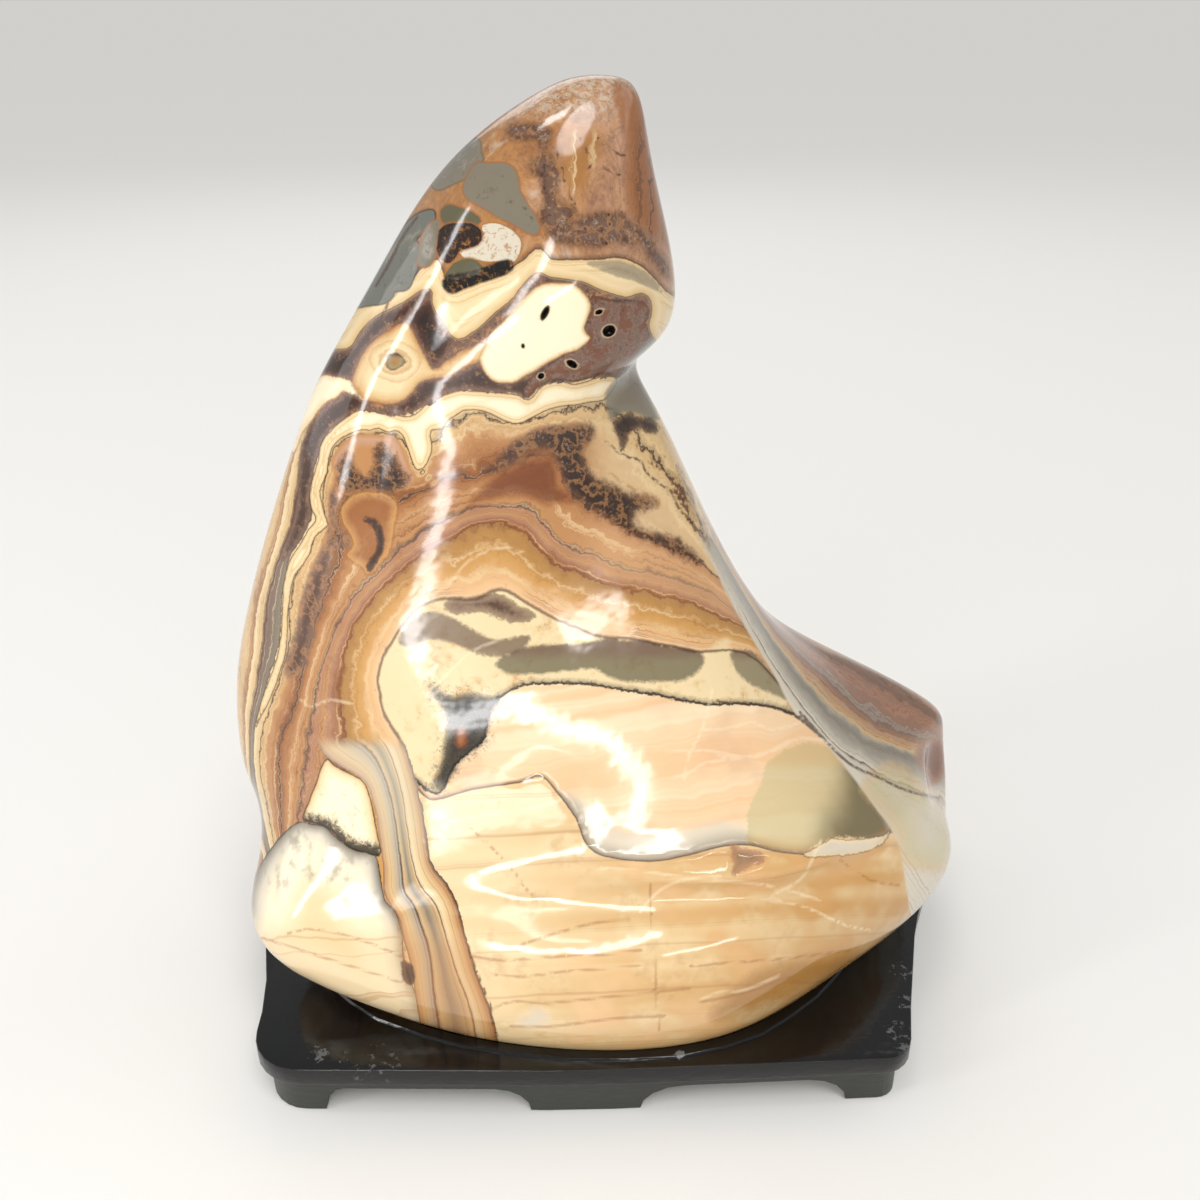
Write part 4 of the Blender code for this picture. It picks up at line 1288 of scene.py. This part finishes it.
def polishedStand():  # the board with its edges rounded over
    stand = evaluatedCopy(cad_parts["stand"], "lacquered_stand")
    shape = bmesh.new()
    shape.from_mesh(stand.data)
    bmesh.ops.remove_doubles(shape, verts=shape.verts, dist=stoneSizes["weld"])
    bmesh.ops.dissolve_limit(shape, angle_limit=math.radians(lacquer["flatAngle"]),
                             verts=shape.verts, edges=shape.edges)
    shape.to_mesh(stand.data)
    shape.free()
    soften = stand.modifiers.new("Soften", 'BEVEL')
    soften.width = lacquer["softEdge"]
    soften.segments = lacquer["edgeSegments"]
    soften.limit_method = 'ANGLE'
    soften.angle_limit = math.radians(lacquer["edgeAngle"])
    board = evaluatedCopy(stand, "lacquer_board")
    bpy.data.objects.remove(stand, do_unlink=True)
    board.data.shade_smooth()
    board.data.set_sharp_from_angle(angle=math.radians(lacquer["smoothAngle"]))
    return board


def onBoard(across, down):  # the place on the board's top that the picture shows there
    eye, along = sightLine(across, down)
    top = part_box("stand")[1].z
    return eye + along * ((top - eye.z) / along.z)


def boardGap(graph, across, down):  # how far off a place on the board's top is
    sockets = {0: graph.place(), 1: tuple(onBoard(across, down))}
    return graph.node("VectorMath", {"operation": "DISTANCE"}, sockets, out=1)


def lacquerPaint():
    graph = Graph("blackLacquer")
    specks = graph.noise(lacquer["speckScale"], 3.0, 0.7)
    blots = graph.noise(lacquer["blotScale"], 3.0, 0.65)
    wearAndHighlight = None
    for across, down, radius, amount in lacquer["patches"]:
        gap = boardGap(graph, across, down)
        patch = graph.step(gap, radius, radius * lacquer["patchCore"]) * amount
        wearAndHighlight = patch if wearAndHighlight is None else graph.maths("MAXIMUM", wearAndHighlight, patch)
    broken = graph.step(blots + wearAndHighlight * lacquer["wornLift"], *lacquer["brokenBlots"])
    broken = broken * graph.step(wearAndHighlight, 0.0, lacquer["wornFade"])
    dust = graph.step(specks, *lacquer["dustSpecks"]) * lacquer["dustCover"]
    across, down, radius = lacquer["chip"]
    gap = boardGap(graph, across, down) + (blots - 0.5) * lacquer["chipRagged"]
    chip = graph.step(gap, radius, radius * lacquer["chipCore"])
    height = graph.node("SeparateXYZ", None, {0: graph.place()}, out=2)
    low = lacquer["apronTop"]
    apron = graph.step(height, low, low - lacquer["apronFade"])
    # the apron's lighter colour is partly painted reflection
    colour = graph.blend(lacquer["coat"], lacquer["apron"], apron)
    colour = graph.blend(colour, lacquer["dust"], broken * lacquer["brokenCover"])
    colour = graph.blend(colour, lacquer["bareEdge"], dust * (1.0 - apron))
    colour = graph.blend(colour, lacquer["dust"], chip)
    rough = graph.step(blots, *lacquer["hazeBlots"]) * lacquer["haze"] + lacquer["gloss"]
    top = lacquer["noseTop"]
    nose = graph.step(height, top, top - lacquer["noseFade"]) * (1.0 - apron)
    rough = rough + apron * (lacquer["apronGloss"] - lacquer["gloss"])
    rough = rough + broken * lacquer["wornHaze"] + chip * lacquer["wornHaze"]
    rough = rough + nose * lacquer["noseHaze"]
    ripple = graph.noise(lacquer["rippleScale"], 2.0, 0.5, 0.3, (1.0, 1.0, 3.0))
    bump = graph.node("Bump", None, {"Strength": lacquer["ripple"],
                                     "Distance": lacquer["rippleHeight"], "Height": ripple})
    graph.feed(graph.shader.inputs["Base Color"], colour)
    graph.feed(graph.shader.inputs["Roughness"], rough)
    graph.feed(graph.shader.inputs["Normal"], bump)
    return graph.material


board = polishedStand()
board.data.materials.clear()
board.data.materials.append(lacquerPaint())
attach(board, "root")
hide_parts("stand")
print("stand lacquered")

studio = {
    "floor": "f0eeea",
    "floorSize": 4000.0,   # metres, so that no edge of it shows
    "floorRoughness": 0.8,
    "sky": 0.46,
    "sunTurn": (28.0, 12.0, 0.0),  # degrees
    "sun": 1.0,
    "sunSize": 26.0,       # degrees across
    "lamps": [
        # name, place, aim, size, turn in degrees, watts
        ("window", (-1.45, -0.72, 0.75), (0, 0, 0.15), (0.12, 1.3), 0, 5.6),
        ("doorway", (-0.47, -1.109, 0.346), (0, 0, 0.15), (0.797, 0.077), 29, 1.1),
        ("rightPane", (0.39, -1.124, 0.276), (0, 0, 0.15), (0.414, 0.042), 21, 0.8),
        ("leafPane", (-0.006, -1.01, 0.412), (0, 0, 0.15), (0.617, 0.069), 55, 1.6),
        ("lowPane", (-0.18, -0.6, 0.1), (0, 0, 0.15), (0.3, 0.035), 35, 0.46),
        ("leftPane", (-0.855, -0.957, 0.349), (0, 0, 0.15), (0.361, 0.071), -50, 1.2),
        ("ceiling", (-0.35, -0.45, 2.2), (0, 0, 0.15), (0.5, 0.2), 20, 3.6),
        ("side", (1.6, 0.4, 1.6), (0, 0, 0.15), (1.2, 1.2), 0, 3.5),
        ("leftFill", (-1.9, 0.1, 0.7), (0, 0, 0.15), (1.0, 1.0), 0, 4.0),
        ("behind", (-0.3, 1.8, 1.5), (0, 0, 0.15), (1.4, 1.0), 0, 5.0),
    ],
}


def buildStudio():
    bpy.ops.mesh.primitive_plane_add(size=studio["floorSize"])
    floor = bpy.context.object
    floor.name = "floor"
    graph = Graph("paleFloor")
    graph.feed(graph.shader.inputs["Base Color"], studio["floor"])
    graph.feed(graph.shader.inputs["Roughness"], studio["floorRoughness"])
    graph.feed(graph.shader.inputs["Specular IOR Level"], 0.0)
    floor.data.materials.append(graph.material)
    world = bpy.data.worlds.new("room")
    bpy.context.scene.world = world
    world.use_nodes = True
    sky = world.node_tree.nodes["Background"]
    sky.inputs["Color"].default_value = (1.0, 1.0, 1.0, 1.0)
    sky.inputs["Strength"].default_value = studio["sky"]
    light = bpy.data.lights.new("daylight", 'SUN')
    light.energy = studio["sun"]
    light.angle = math.radians(studio["sunSize"])
    lamp = addObject("daylight", light)
    lamp.rotation_euler = [math.radians(turn) for turn in studio["sunTurn"]]
    for name, place, aim, size, turn, watts in studio["lamps"]:
        light = bpy.data.lights.new(name, 'AREA')
        light.shape = 'RECTANGLE'
        light.size, light.size_y = size
        light.energy = watts
        lamp = addObject(name, light)
        lamp.location = place
        lamp.visible_camera = False
        facing = (Vector(aim) - lamp.location).to_track_quat("-Z", "Y").to_matrix()
        lamp.rotation_euler = (facing @ Matrix.Rotation(math.radians(turn), 3, 'Z')).to_euler()


def placeCamera():
    eye, turn = viewAxes()
    lens = bpy.data.cameras.new("camera")
    lens.sensor_width = viewPlace["sensor"]
    lens.lens = viewPlace["focal"] / viewPlace["picture"] * viewPlace["sensor"]
    lens.clip_end = studio["floorSize"]
    camera = addObject("camera", lens)
    camera.location = eye
    camera.rotation_euler = turn
    bpy.context.scene.camera = camera


buildStudio()
placeCamera()
bpy.context.scene.view_settings.view_transform = 'Standard'
print("studio and camera ready")
